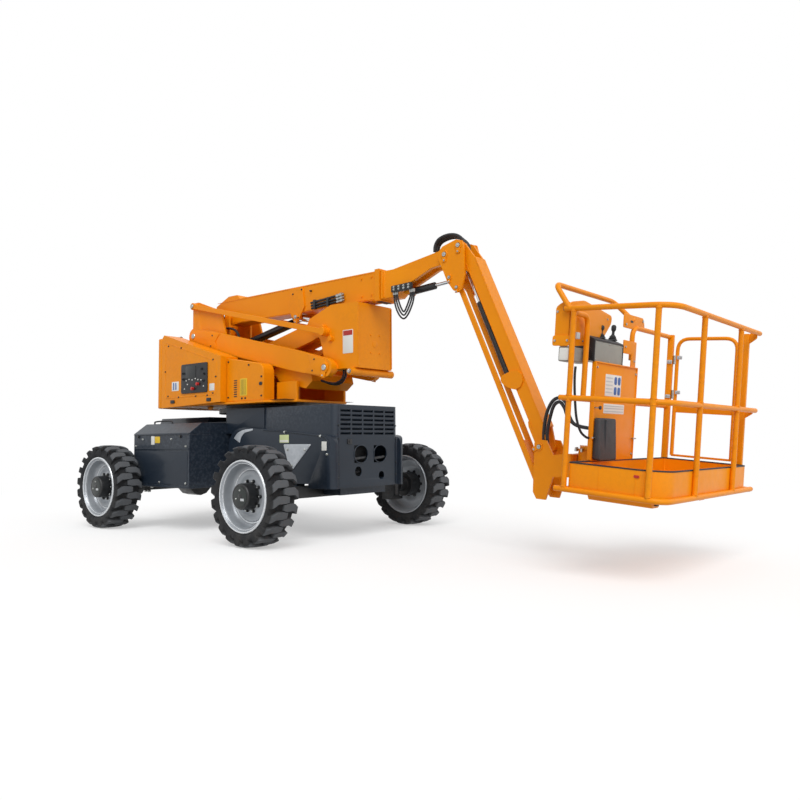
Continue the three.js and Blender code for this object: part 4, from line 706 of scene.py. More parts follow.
def makeGate():
    x0, y, top, foot = 300, cage["half"], 1107, cage["trayHeight"] + 24
    wide, r = 450, cage["gateTube"]
    bow = roundCorners([[x0 + r, y, foot], [x0 + r, y, top], [x0 + wide, y, top], [x0 + wide, y, foot]], 90, 7,
        closed=False)
    addTubes("gate_bow", [bow], r, "platform_gate", sides=16, instead=("platform_gate",))
    band = cage["middle"] - 20
    plates = [(rectangle(x0 + 18, x0 + wide - 4, band - 25, band + 25, 6), y - 4, y + 4, 1.5),
        (rectangle(x0 + 10, x0 + wide, foot - 8, foot + 8, 3), y - 8, y + 8, 2)]
    addPlates("gate_bars", plates, "platform_gate")
    rows = [[-34, 12], [-33, 16], [-2, 16], [-1, 14.5], [1, 14.5], [2, 16], [33, 16], [34, 12]]
    addTurned("gate_hinge_barrels", rows, [(x0, y, z) for z in (679, 945)], upright, "platform_gate", "zincPlate", 20)
    for part, u0, u1, rise, body in (("gate", 20, 58, 16, "platform_gate"), ("post", -56, -18, -16, "platform")):
        leaves = [(rectangle(x0 + u0, x0 + u1, z + rise - 14, z + rise + 14, 6), y - 22, y - 15.5, 1.5)
            for z in (679, 945)]
        addPlates(f"hinge_leaves_{part}", leaves, body, "galvanisedSheet")
        screws = [[x0 + (u0 + u1) / 2 + v, y - 22, z + rise] for z in (679, 945) for v in (-9, 9)]
        addBolts(f"hinge_screws_{part}", screws, (0, -1, 0), body, 11)
    latch = [(rectangle(x0 + wide - 24, x0 + wide + 26, band - 16, band + 16, 6), y + 16, y + 28, 3)]
    addPlates("gate_latch", latch, "platform_gate", "blackAbs")
    grip = flow([[x0 + wide, y + 12, 700], [x0 + wide, y + 40, 706], [x0 + wide, y + 44, 760],
        [x0 + wide, y + 40, 814], [x0 + wide, y + 12, 820]], 5)
    addTubes("gate_handle", [grip], 7, "platform_gate", "blackAbs", sides=10)


# The tray: the floor's outline carried up the toe board, folded over at the top and down inside.
def makeTray():
    inset = cage["tube"] - 1
    x0, x1, y = cage["rear"] + inset, cage["front"] - inset, cage["half"] - inset
    corner, high = cage["trayCorner"], cage["trayHeight"]
    plan = roundCorners([[x0, -y], [x1 - corner, -y], [x1, corner - y], [x1, y - 30], [x1 - 30, y], [x0, y]],
        [18, 60, 60, 14, 14, 18], 6)
    rows = [[12, 0], [3, 0.5], [0, 5], [0, high - 3], [1.5, high], [5, high], [7, high - 3], [7, 14], [9, 12]]
    meet = outwardShift(plan, 0.4)
    level = lambda steps: np.array([np.concatenate([plan - meet * inward, np.full((len(plan), 1), z)], 1) for inward,
        z in steps])
    addPiece("floor_tray", [level(rows)], "platform", angle=30, instead=("platform_floor",))
    # black trim folded over the toe board's edge
    trim = [[-2, high - 6], [-2, high - 1], [0, high + 2.5], [6, high + 2.5], [9, high - 1], [9, high - 6],
        [7.2, high - 6], [7.2, high - 2], [5, high + 0.3], [1.5, high + 0.3], [-0.2, high - 2], [-0.2, high - 6]]
    addPiece("toe_board_trim", [level(trim)], "platform", "hoseRubber", angle=50, looped=True)
    # raised studs of the non-slip floor, in staggered rows
    u, v = np.meshgrid(np.arange(x0 + 45, x1 - 130, 46), np.arange(-y + 60, y - 50, 46), indexing="ij")
    u = u + (np.arange(v.shape[1])[None] % 2) * 23
    stud = np.array([[-1, 9], [1.2, 8.2], [2.4, 5.5], [2.6, 1.5]])
    grids = [turnedGrid(stud, (a, b, 12), (0, 0, 1), 8) for a, b in zip(u.ravel(), v.ravel())]
    addPiece("floor_studs", grids, "platform", angle=60)
    # folded channels under the floor with rubber blocks in their ends
    channel = roundCorners([[-84, 2], [-50, -60], [50, -60], [84, 2]], [2, 10, 10, 2], 4)
    plates = [(channel + [middleY, 0], x0 + 6, x1 - 170, 3, "yz") for middleY in (-420, 380)]
    addPlates("floor_channels", plates, "platform")
    blocks = [(rectangle(middleY - 20, middleY + 20, -46, -10, 5), a, b, 3, "yz") for middleY in (-420, 380) for a,
        b in ((x0 - 8, x0 + 6), (x1 - 170, x1 - 156))]
    addPlates("channel_stops", blocks, "platform", "hoseRubber")
    # the toe board's welded joins and a small reflector
    seams = [(rectangle(a, a + 6, 14, high - 8, 1), side * y - 0.4, side * y + 1.6 * side + 0.4, 0.4)
        for a in (x0 + 200, x0 + 430) for side in (-1, 1)]
    addPlates("tray_seams", [(s[0], min(s[1:3]), max(s[1:3]), 0.4) for s in seams], "platform")
    addPlates("tray_reflector", [(rectangle(688, 722, 140, 156, 7), -y - 4, -y + 1, 1.5)], "platform", "redPlastic")


def makeConsole():
    x0 = 263
    # folded back panel with returned edges, dropping to a tongue beside the rear post
    addPlates("panel_back", [(roundCorners([[-490, 190.5], [140, 190.5], [140, 832], [-490, 832]], 14, 4), x0,
        x0 + 12, 3, "yz"), (rectangle(-492, -482, 194, 838, 4), x0 - 12, x0 + 18, 3, "yz"),
        (rectangle(132, 142, 194, 838, 4), x0 - 12, x0 + 18, 3, "yz"), (rectangle(-482, 132, 828, 838, 3), x0 - 10,
        x0 + 20, 3, "yz"), (roundCorners([[-86, 924], [-86, 1016], [116, 1016], [116, 831], [44, 831], [44, 924]], 6,
        3), x0, x0 + 8, 2, "yz")], "platform", instead=("control_console",))
    # control box: its back stands to the rear, its switches on the sloping top
    section = roundCorners([[120, 843], [120, 985], [203, 1004], [267, 976], [267, 832], [253, 843]],
        [8, 12, 14, 12, 6, 8], 4)
    addPlates("control_box", [(section, -498, -92, 6)], "platform", "greyAbs")
    cheek = roundCorners([[117, 840], [117, 987], [203, 1008], [270, 980], [270, 830], [253, 840]],
        [8, 12, 14, 12, 6, 8], 4)
    addPlates("control_box_cheeks", [(cheek, -505, -496, 3), (cheek, -94, -85, 3)], "platform", "blackAbs")
    addPlates("control_box_edge", [(roundCorners([[118, 978], [118, 990], [203, 1009.5], [270, 981], [270, 970],
        [203, 999]], 3, 3), -500, -90, 1.5)], "platform", "blackAbs")
    addBolts("control_box_screws", [[268, v, z] for v in (-486, -295, -104) for z in (850, 960)], (1, 0, 0),
        "platform", 8)
    for number, (u, v, tall) in enumerate(((200, -294, 0.8), (200, -120, 1.0))):
        boot = [[2, 34], [8, 32], [12, 26], [16, 28], [22, 21], [27, 23], [34, 16], [40, 13]]
        stick = [[38, 10], [62, 9], [68, 13], [78, 17], [96, 17], [104, 14], [109, 8], [110, 2]]
        grids = [turnedGrid(np.array(rows) * [tall, 1], (u, v, 1006), (0.06, 0, 1), 20) for rows in (boot, stick)]
        addPiece(f"joystick_{number + 1}", grids, "platform", "hoseRubber")
    knob = [[2, 9], [10, 9], [11, 13], [18, 13], [20, 10], [21, 2]]
    small = [turnedGrid(knob, (160, v, 994), (-0.2, 0, 1), 14) for v in (-440, -400, -230, -180)]
    addPiece("control_knobs", small, "platform", "blackAbs")
    # signs: plain white film with four blue fields
    addPlates("panel_signs", [(rectangle(-339, -105, 619, 764, 5), x0 + 11.6, x0 + 13.2, 0.3, "yz"),
        (rectangle(-345, -38, 503, 568, 5), x0 + 11.6, x0 + 13.2, 0.3, "yz")], "platform", "whiteVinyl")
    addPlates("panel_sign_fields", [(rectangle(v, v + 40, z, z + 54, 16), x0 + 12.8, x0 + 14, 0.2, "yz")
        for v in (-210, -156) for z in (630, 698)], "platform", "blueVinyl")
    addPlates("panel_sign_lines", [(rectangle(-332, -232, z, z + 9, 3), x0 + 12.8, x0 + 13.9, 0.2, "yz")
        for z in (640, 664, 688, 712, 736)] + [(rectangle(-336, -48, z, z + 8, 3), x0 + 12.8, x0 + 13.9, 0.2, "yz")
        for z in (514, 534, 550)], "platform", "lightGreyEnamel")
    # document pocket of grey sheet folded to a shallow box, its upper edge leaning back
    pocket = plateGrid(rectangle(-467, -220, 196, 471, 18), x0 + 12, x0 + 66, 8, "yz")
    bend = np.clip((pocket[..., 2] - 196) / 275, 0, 1)
    pocket[..., 0] = x0 + 12 + (pocket[..., 0] - x0 - 12) * (1 - 0.35 * bend)
    addPiece("document_pocket", [pocket], "platform", "darkGreyVinyl")
    addPlates("pocket_rib", [(rectangle(-386, -380, 202, 464, 3), x0 + 40, x0 + 62, 2, "yz")], "platform",
        "darkGreyVinyl")
    latches = [[[x0 + 10, v, z], [x0 + 28, v, z]] for v, z in ((-478, 342), (118, 338))]
    latches += [[[x0 + 28, v - 26, z], [x0 + 28, v + 26, z]] for v, z in ((-478, 342), (118, 338))]
    addTubes("panel_latches", latches, 5, "platform", "zincPlate", sides=10)
    addTubes("panel_pin", [[[x0 + 10, -474, 537], [x0 + 48, -474, 537]]], 5, "platform", "zincPlate", sides=10)
    addPiece("panel_pin_knob", [turnedGrid([[0, 6], [2, 11], [8, 13], [14, 11], [17, 3]], (x0 + 46, -474, 537),
        (1, 0, 0), 14)], "platform", "blackAbs")
    addBolts("panel_bolts", [[x, v, z] for x, v, z in ((x0 + 12, -466, 800), (x0 + 12, 118, 230), (x0 + 12, 118, 790),
        (x0 + 8, 90, 880), (x0 + 8, -60, 970))], (1, 0, 0), "platform", 14)
    # shields round the controls: folded orange sheets
    shield = roundCorners([[-738, 910], [-738, 1190], [-560, 1222], [-165, 1170], [-165, 1120], [-300, 980],
        [-500, 935]], 26, 5)
    addPlates("control_shield", [(shield, 203, 209, 2, "yz")], "platform")
    cheek = roundCorners([[106, 930], [106, 1160], [150, 1190], [209, 1190], [209, 910], [140, 910]], 18, 5)
    addPlates("control_shield_cheeks", [(cheek, -738, -732, 2)], "platform")
    tab = roundCorners([[98, 912], [98, 978], [218, 978], [218, 912]], 16, 5)
    addPlates("shield_tab", [(tab, -748, -739, 2)], "platform")
    lamp = roundCorners([[141, 815], [141, 911], [223, 911], [223, 822], [210, 815]], 12, 4)
    addPlates("lamp_box", [(lamp, -738, -504, 6)], "platform", "greyAbs")
    addPlates("lamp_lens", [(rectangle(150, 214, 822, 900, 9), -744, -737, 3)], "platform", "whiteVinyl")
    addPlates("shield_switch", [(rectangle(214, 240, 962, 1004, 5), -690, -650, 3)], "platform", "lightGreyEnamel")
    addBolts("shield_bolts", [[116, -749, 945], [204, -749, 945], [120, -739, 1130], [190, -739, 1150]], (0, -1, 0),
        "platform", 13)
    addBolts("shield_back_bolts", [[202, v, z] for v, z in ((-690, 1150), (-560, 1180), (-230, 1140), (-560, 960))],
        (-1, 0, 0), "platform", 11)
    # foot switch: red pedal on a black box
    pedal = roundCorners([[314, 16], [314, 62], [470, 40], [485, 16]], [6, 10, 8, 4], 4)
    addPlates("foot_pedal", [(pedal, 210, 420, 5)], "platform", "redPlastic")
    addPlates("foot_switch", [(rectangle(300, 372, 13, 80, 8), 120, 196, 5)], "platform", "blackAbs")


makeCage()
makeGate()
makeTray()
makeConsole()
print("stage: platform")


# both sides' copies of shapes written for the right side
def mirrored(plates):
    return plates + [(outline, -high, -low, *rest) for outline, low, high, *rest in plates]


# the chassis: its front housing's fittings, its side boxes' trims and its axles' bolts
chassisTrim = {"front": 1485, "skirt": 490, "box": 860}


def makeChassis():
    front, skirt, box = chassisTrim["front"], chassisTrim["skirt"], chassisTrim["box"]
    # the skirt's rolled lip, from the roof down over the front corner, as a raised bead
    lip = flow([[618, -skirt - 1, 966], [836, -skirt - 1, 954], [1120, -skirt - 1, 930], [1298, -skirt - 1, 913],
        [1410, -skirt - 1, 900], [1462, -skirt - 4, 862], [1478, -skirt + 2, 812]], 8)
    paths = [lip, lip * [1, -1, 1]]
    addTubes("skirt_lips", paths, 5.5, "chassis", "navyPowderCoat")
    patch = roundCorners([[897, 835], [1263, 835], [995, 584]], 22, 5)
    addPlates("skirt_patches", mirrored([(patch, -skirt - 5, -skirt + 1, 2)]), "chassis", "galvanisedSheet")
    guard = roundCorners([[184, 893], [236, 944], [326, 974], [466, 982], [466, 966], [337, 944], [292, 902],
        [273, 850]], [6, 30, 40, 4, 4, 40, 30, 6], 5)
    addPlates("arch_guards", mirrored([(guard, -skirt - 4, -skirt + 1, 1.5)]), "chassis", "galvanisedSheet")
    # raised walls beside the slewing ring, carrying the housing's side on to the boxes
    wall = roundCorners([[-8, 940], [-8, 1180], [562, 1180], [562, 940]], [4, 26, 4, 4], 5)
    addPlates("ring_guards", mirrored([(wall, -434, -426, 2)]), "chassis", "navyPowderCoat")
    screws = [[x, -skirt - 5, z] for x, z in ((956, 786), (1181, 786), (1010, 640))]
    screws += [[x, -skirt - 1, z] for x, z in ((914, 945), (1372, 905), (1452, 747))]
    addBoltPair("skirt_screws", screws, "chassis", 20)
    labels = [(rectangle(844, 968, 848, 920, 5), -skirt - 1.4, -skirt + 0.2, 0.4)]
    addPlates("skirt_labels", mirrored(labels), "chassis", "paleGreenVinyl")
    white = [(rectangle(1386, 1446, 780, 858, 5), -skirt - 1.4, -skirt + 0.2, 0.4),
        (rectangle(850, 962, 854, 872, 3), -skirt - 2, -skirt - 1.2, 0.3)]
    addPlates("skirt_white_labels", mirrored(white), "chassis", "whiteVinyl")
    # front face: rims round the tie-down openings, hose ends inside, latch and screws
    rims = []
    for middle in (-97, 163):
        turn = np.linspace(0, 2 * math.pi, 40, endpoint=False)
        edge = np.stack([middle + np.clip(92 * np.cos(turn), -88, 92), 743 + 80 * np.sin(turn)], 1)
        ring = np.stack([np.full(len(edge), front + 1.0), edge[:, 0], edge[:, 1]], 1)
        ring = np.concatenate([ring, ring[:2]])
        rims.append(ring)
    addTubes("opening_rims", rims, 5, "chassis", "navyPowderCoat", sides=10)
    bars = [np.array([[front - 26, a - 80, 700], [front - 26, a + 80, 712]]) for a in (-97, 163)]
    addTubes("tie_bars", bars, 15, "chassis", "blackEnamel")
    # stub ends of hoses behind the lower opening
    stubs = [flow([[front - 70, -150 + 22 * n, 575], [front - 40, -150 + 22 * n, 592],
        [front - 16, -146 + 20 * n, 582]], 5) for n in range(3)]
    addTubes("housing_stubs", stubs, 8, "chassis", "blackAbs")
    faceBolts = [[front, y, z] for y in (-384, 384) for z in (1000, 880, 660, 545)]
    addBolts("front_face_screws", faceBolts, (1, 0, 0), "chassis", 12, "blackEnamel")
    latch = [(rectangle(-276, -218, 832, 878, 8), front - 1, front + 8, 3, "yz"),
        (rectangle(-258, -238, 846, 866, 8), front + 7, front + 13, 2, "yz")]
    addPlates("front_latch", latch, "chassis", "blackAbs")
    # louvre blades inside the cooling slots, one sloping blade to each slot
    blades = []
    for column in range(5):
        for row in range(6):
            y, z = (column - 2) * 148, 1129 - row * 40
            if abs(y) + 64 > 400:
                continue
            blades.append((roundCorners([[front - 30, z - 14], [front - 1.5, z + 9], [front - 1.5, z + 12.5],
                [front - 32, z - 10]], 1.2, 3), y - 62, y + 62, 1))
    addPlates("cooling_louvres", blades, "chassis", "navyPowderCoat")
    # side boxes: pressed ledge, chamfered lid's hem, handles, bolts, clasps and labels
    ledge = [(rectangle(-962, -22, 786, 804, 6), -box - 5, -box + 1, 2.5),
        (rectangle(-966, -18, 930, 942, 4), -box - 7, -box + 1, 2.5), (rectangle(-962, -22, 424, 438, 5), -box - 4,
        -box + 1, 2)]
    addPlates("box_ledges", mirrored(ledge), "chassis", "navyPowderCoat")
    panels = [(roundCorners([[-948, 452], [-36, 452], [-36, 772], [-948, 772]], 26, 5), -box - 3.5, -box + 1, 2.5)]
    addPlates("box_panels", mirrored(panels), "chassis", "navyPowderCoat")
    addPlates("box_labels", mirrored([(rectangle(-590, -501, 852, 916, 4), -box - 1.4, -box + 0.2, 0.4)]), "chassis",
        "yellowVinyl")
    addPlates("box_white_labels", mirrored([(rectangle(-655, -596, 836, 920, 4), -box - 1.4, -box + 0.2, 0.4)]),
        "chassis", "whiteVinyl")
    corners = [(-930, 820), (-60, 820), (-930, 470), (-60, 470), (-500, 470), (-300, 890), (-800, 890)]
    for side, name in ((-1, "right"), (1, "left")):
        addBolts(f"box_bolts_{name}", [[x, side * (box + 3), z] for x, z in corners], (0, side, 0), "chassis", 17)
        addBolts(f"box_clasps_{name}", [[x, side * (box + 2), 915] for x in (-880, -150)], (0, side, 0), "chassis",
            26, "blackEnamel")
        grip = flow([[-850, side * 700, 1046], [-846, side * 700, 1066], [-800, side * 700, 1072],
            [-690, side * 700, 1074], [-580, side * 700, 1072], [-539, side * 700, 1066], [-535, side * 700, 1046]],
            5)
        addTubes(f"lid_handle_{name}", [grip], 8, "chassis", "blackAbs")
    # hull: long upper ledges, tie-down rings and bolts at both ends
    hull = [(rectangle(-1380, 540, 1046, 1062, 5), -356, -349, 2), (rectangle(-1380, -980, 640, 654, 4), -355, -349,
        2)]
    addPlates("hull_ledges", mirrored(hull), "chassis", "navyPowderCoat")
    hullBolts = [[-1400, y, z] for y in (-300, -100, 100, 300) for z in (540, 1000)]
    addBolts("rear_face_bolts", hullBolts, (-1, 0, 0), "chassis", 24)
    turn = np.linspace(0, 2 * math.pi, 25)
    rings = [np.stack([np.full(25, -1407.0), y + 38 * np.cos(turn), 760 + 38 * np.sin(turn)], 1) for y in (-250, 250)]
    addTubes("tie_rings_rear", rings, 8, "chassis", "zincPlate", sides=10)
    panel = [(roundCorners([[-310, 800], [310, 800], [310, 1010], [-310, 1010]], 24, 5), -1405, -1399, 2.5, "yz")]
    addPlates("rear_cover", panel, "chassis", "navyPowderCoat")
    # flange bolts of the rear axle
    turn = np.arange(8) * math.pi / 4 + math.pi / 8
    addBoltPair("axle_bolts_rear", [[82 * math.cos(a) - 1144, -600, 420 + 82 * math.sin(a)] for a in turn], "chassis",
        20)


makeChassis()
print("stage: chassis")

# the turntable: hoods, side panels, ground controls, tower and counterweight
hoodTrim = {"outer": 560, "panel": 488}


def makeTurntable():
    outer, panel = hoodTrim["outer"], hoodTrim["panel"]
    for side, name in ((-1, "right"), (1, "left")):
        body = f"hood_{name}"
        flip = lambda plates: plates if side < 0 else [(o, -high, -low, *rest) for o, low, high, *rest in plates]
        # a pressed bead follows the hood's outline
        inner = roundCorners([[-884, 1322], [-884, 1894], [-860, 1906], [-22, 1654], [-14, 1640], [-14, 1322]], 40, 6)
        groove = np.stack([inner[:, 0], np.full(len(inner), side * (outer - 1.0)), inner[:, 1]], 1)
        addTubes(f"hood_groove_{name}", [np.concatenate([groove, groove[:2]])], 4, body, sides=10)
        edge = [[-884, 1600], [-830, 1868], [-600, 1830], [-60, 1670], [-830, 1340], [-640, 1322], [-340, 1322],
            [-150, 1322], [-60, 1340], [-14, 1500]]
        addBolts(f"hood_bolts_{name}", [[x, side * outer, z] for x, z in edge], (0, side, 0), body, 15, "blackEnamel")
        # ground controls: a black face plate with a dark screen, switches and a red stop
        addPlates(f"ground_panel_{name}", flip([(rectangle(-586, -143, 1354, 1653, 22), -outer - 12, -outer + 1, 5)]),
            body, "blackAbs")
        if side < 0:
            addPlates("ground_screen", flip([(rectangle(-500, -330, 1510, 1632, 8), -outer - 15, -outer - 11, 1.5)]),
                body, "darkGlass")
            addPlates("ground_marks", flip([(rectangle(x, x + 15, z, z + 11, 3), -outer - 13.2, -outer - 11.6, 0.4)
                for x, z in ((-500, 1478), (-450, 1490), (-398, 1482), (-346, 1492), (-300, 1480), (-250, 1474),
                (-208, 1410), (-530, 1396), (-478, 1440))]), body, "whiteVinyl")
            stop = [[0, 15], [5, 16], [8, 11], [15, 11], [18, 18], [24, 18], [28, 13], [29, 2]]
            places = [(x, -outer - 12, z) for x, z in ((-368, 1396), (-284, 1440))]
            addTurned("ground_stops", stop, places, (0, -1, 0), body, "redPlastic")
            knob = [[0, 12], [5, 14], [7, 10], [18, 9], [20, 2]]
            places = [(x, -outer - 12, z) for x, z in ((-230, 1590), (-190, 1540), (-545, 1500), (-545, 1560),
                (-200, 1470))]
            addTurned("ground_knobs", knob, places, (0, -1, 0), body, "blackAbs", 16)
        else:
            slots6 = [(rectangle(-560 + 62 * n, -520 + 62 * n, 1380, 1628, 12), outer + 8, outer + 14, 3)
                for n in range(7)]
            addPlates("hood_grille", slots6, body, "blackAbs")
        addPlates(f"hood_labels_{name}", flip([(rectangle(-763, -640, 1390, 1486, 5), -outer - 1.4, -outer + 0.2,
            0.4), (rectangle(-116, -36, 1366, 1436, 5), -outer - 1.4, -outer + 0.2, 0.4)]), body, "whiteVinyl")
        addPlates(f"hood_label_bands_{name}", flip([(rectangle(x, x + 20, 1402, 1474, 4), -outer - 2, -outer - 1.2,
            0.3) for x in (-740, -700)]), body, "blueVinyl")
        latches = [(roundCorners([[x, 1262], [x + 70, 1262], [x + 70, 1296], [x, 1296]], 10, 4), -outer - 9,
            -outer + 1, 3) for x in (-780, -160)]
        addPlates(f"hood_latches_{name}", flip(latches), body, "blackAbs")
        # front side panel: slotted vent, label, latch hole and bolts
        vent = [(rectangle(176, 224, 1291 + 22 * n, 1302 + 22 * n, 5), -panel - 1.5, -panel + 0.5, 0.5)
            for n in range(8)]
        addPlates(f"panel_vent_{name}", flip(vent), "turntable", "blackAbs")
        addPlates(f"panel_label_{name}", flip([(rectangle(268, 375, 1300, 1466, 5), -panel - 1.4, -panel + 0.2,
            0.4)]), "turntable", "yellowVinyl")
        addPlates(f"panel_label_band_{name}", flip([(rectangle(x, x + 5, 1310, 1456, 2), -panel - 2, -panel - 1.2,
            0.3) for x in (286, 306, 326, 346)]), "turntable", "blackAbs")
        addPlates(f"panel_latch_{name}", flip([(rectangle(552, 598, 1388, 1420, 15), -panel - 6, -panel + 0.5, 2.5)]),
            "turntable", "blackAbs")
        places = [[90, 1290], [90, 1640], [586, 1290], [586, 1470], [400, 1590], [300, 1276], [350, 1276]]
        addBolts(f"panel_bolts_{name}", [[x, side * panel, z] for x, z in places], (0, side, 0), "turntable", 16,
            "blackEnamel")
        # the tower's pins
        heads = np.array([[-3, 1], [7, 1], [12, 0.86], [12.5, 0.3]])
        grids = [turnedGrid(heads * [1, r], (x, side * y, z), (0, side, 0), 28) for x, y, z,
            r in ((-710, 335, 1984, 30), (-790, 303, 2322, 24))]
        addPiece(f"tower_pins_{name}", grids, "turntable", "zincPlate")
    # counterweight: cast edges, lifting eyes and two lamps
    eyes = []
    turn = np.linspace(0, 2 * math.pi, 25)
    for y in (-300, 300):
        eyes.append(np.stack([-1000 + 34 * np.cos(turn), np.full(25, float(y)), 1972 + 34 * np.sin(turn)], 1))
    addTubes("lifting_eyes", eyes, 9, "turntable", "blackEnamel", sides=10)
    lamps = [(rectangle(y - 36, y + 36, 1300, 1364, 14), -1118, -1104, 4, "yz") for y in (-64, 64)]
    addPlates("rear_lamps", lamps, "turntable", "redPlastic")
    # deck plate's non-slip strips and the slewing ring's bolts
    strips = [(rectangle(630, 880, y - 60, y + 60, 8), 1248.2, 1250, 0.6, "xy") for y in (-400, 400)]
    addPlates("deck_strips", strips, "turntable", "gripStrip")
    turn = np.arange(24) * math.pi / 12
    ringBolts = [[400 * math.cos(a), 400 * math.sin(a), 1249] for a in turn if abs(400 * math.sin(a)) < 230]
    addBolts("ring_bolts", ringBolts, (0, 0, 1), "turntable", 22)


makeTurntable()
print("stage: turntable")

# Pins (x, z, radius) through both sides at "y" from the middle: each has a domed head with a grease
# nipple, a boss round it, and a keeper plate with its bolt below.
def addPins(name, y, pins, body, place=None):
    heads, bosses, keepers = [], [], []
    for x, z, r in pins:
        for side in (-1, 1):
            head = [[-4, r * 0.56], [8, r * 0.56], [11, r * 0.5], [11.5, r * 0.2], [14, 5], [18, 4], [19, 1]]
            boss = [[-4, r], [4, r], [6, r * 0.94], [6, r * 0.66], [2, r * 0.62]]
            heads.append(turnedGrid(head, (x, side * y, z), (0, side, 0), 28))
            bosses.append(turnedGrid(boss, (x, side * y, z), (0, side, 0), 28))
            faces = sorted((side * (y + 0.2), side * (y + 7)))
            keepers.append((rectangle(x - r * 0.55, x + r * 0.55, z - r * 1.9, z - r * 0.85, 4), *faces, 1.5))
    addPiece(f"{name}_heads", heads, body, "zincPlate", place)
    addPiece(f"{name}_bosses", bosses, body, place=place)
    addPlates(f"{name}_keepers", keepers, body, place=place)
    addBoltPair(f"{name}_keeper_bolts", [[x, -y - 7, z - r * 1.5] for x, z, r in pins], body, 13, place=place)


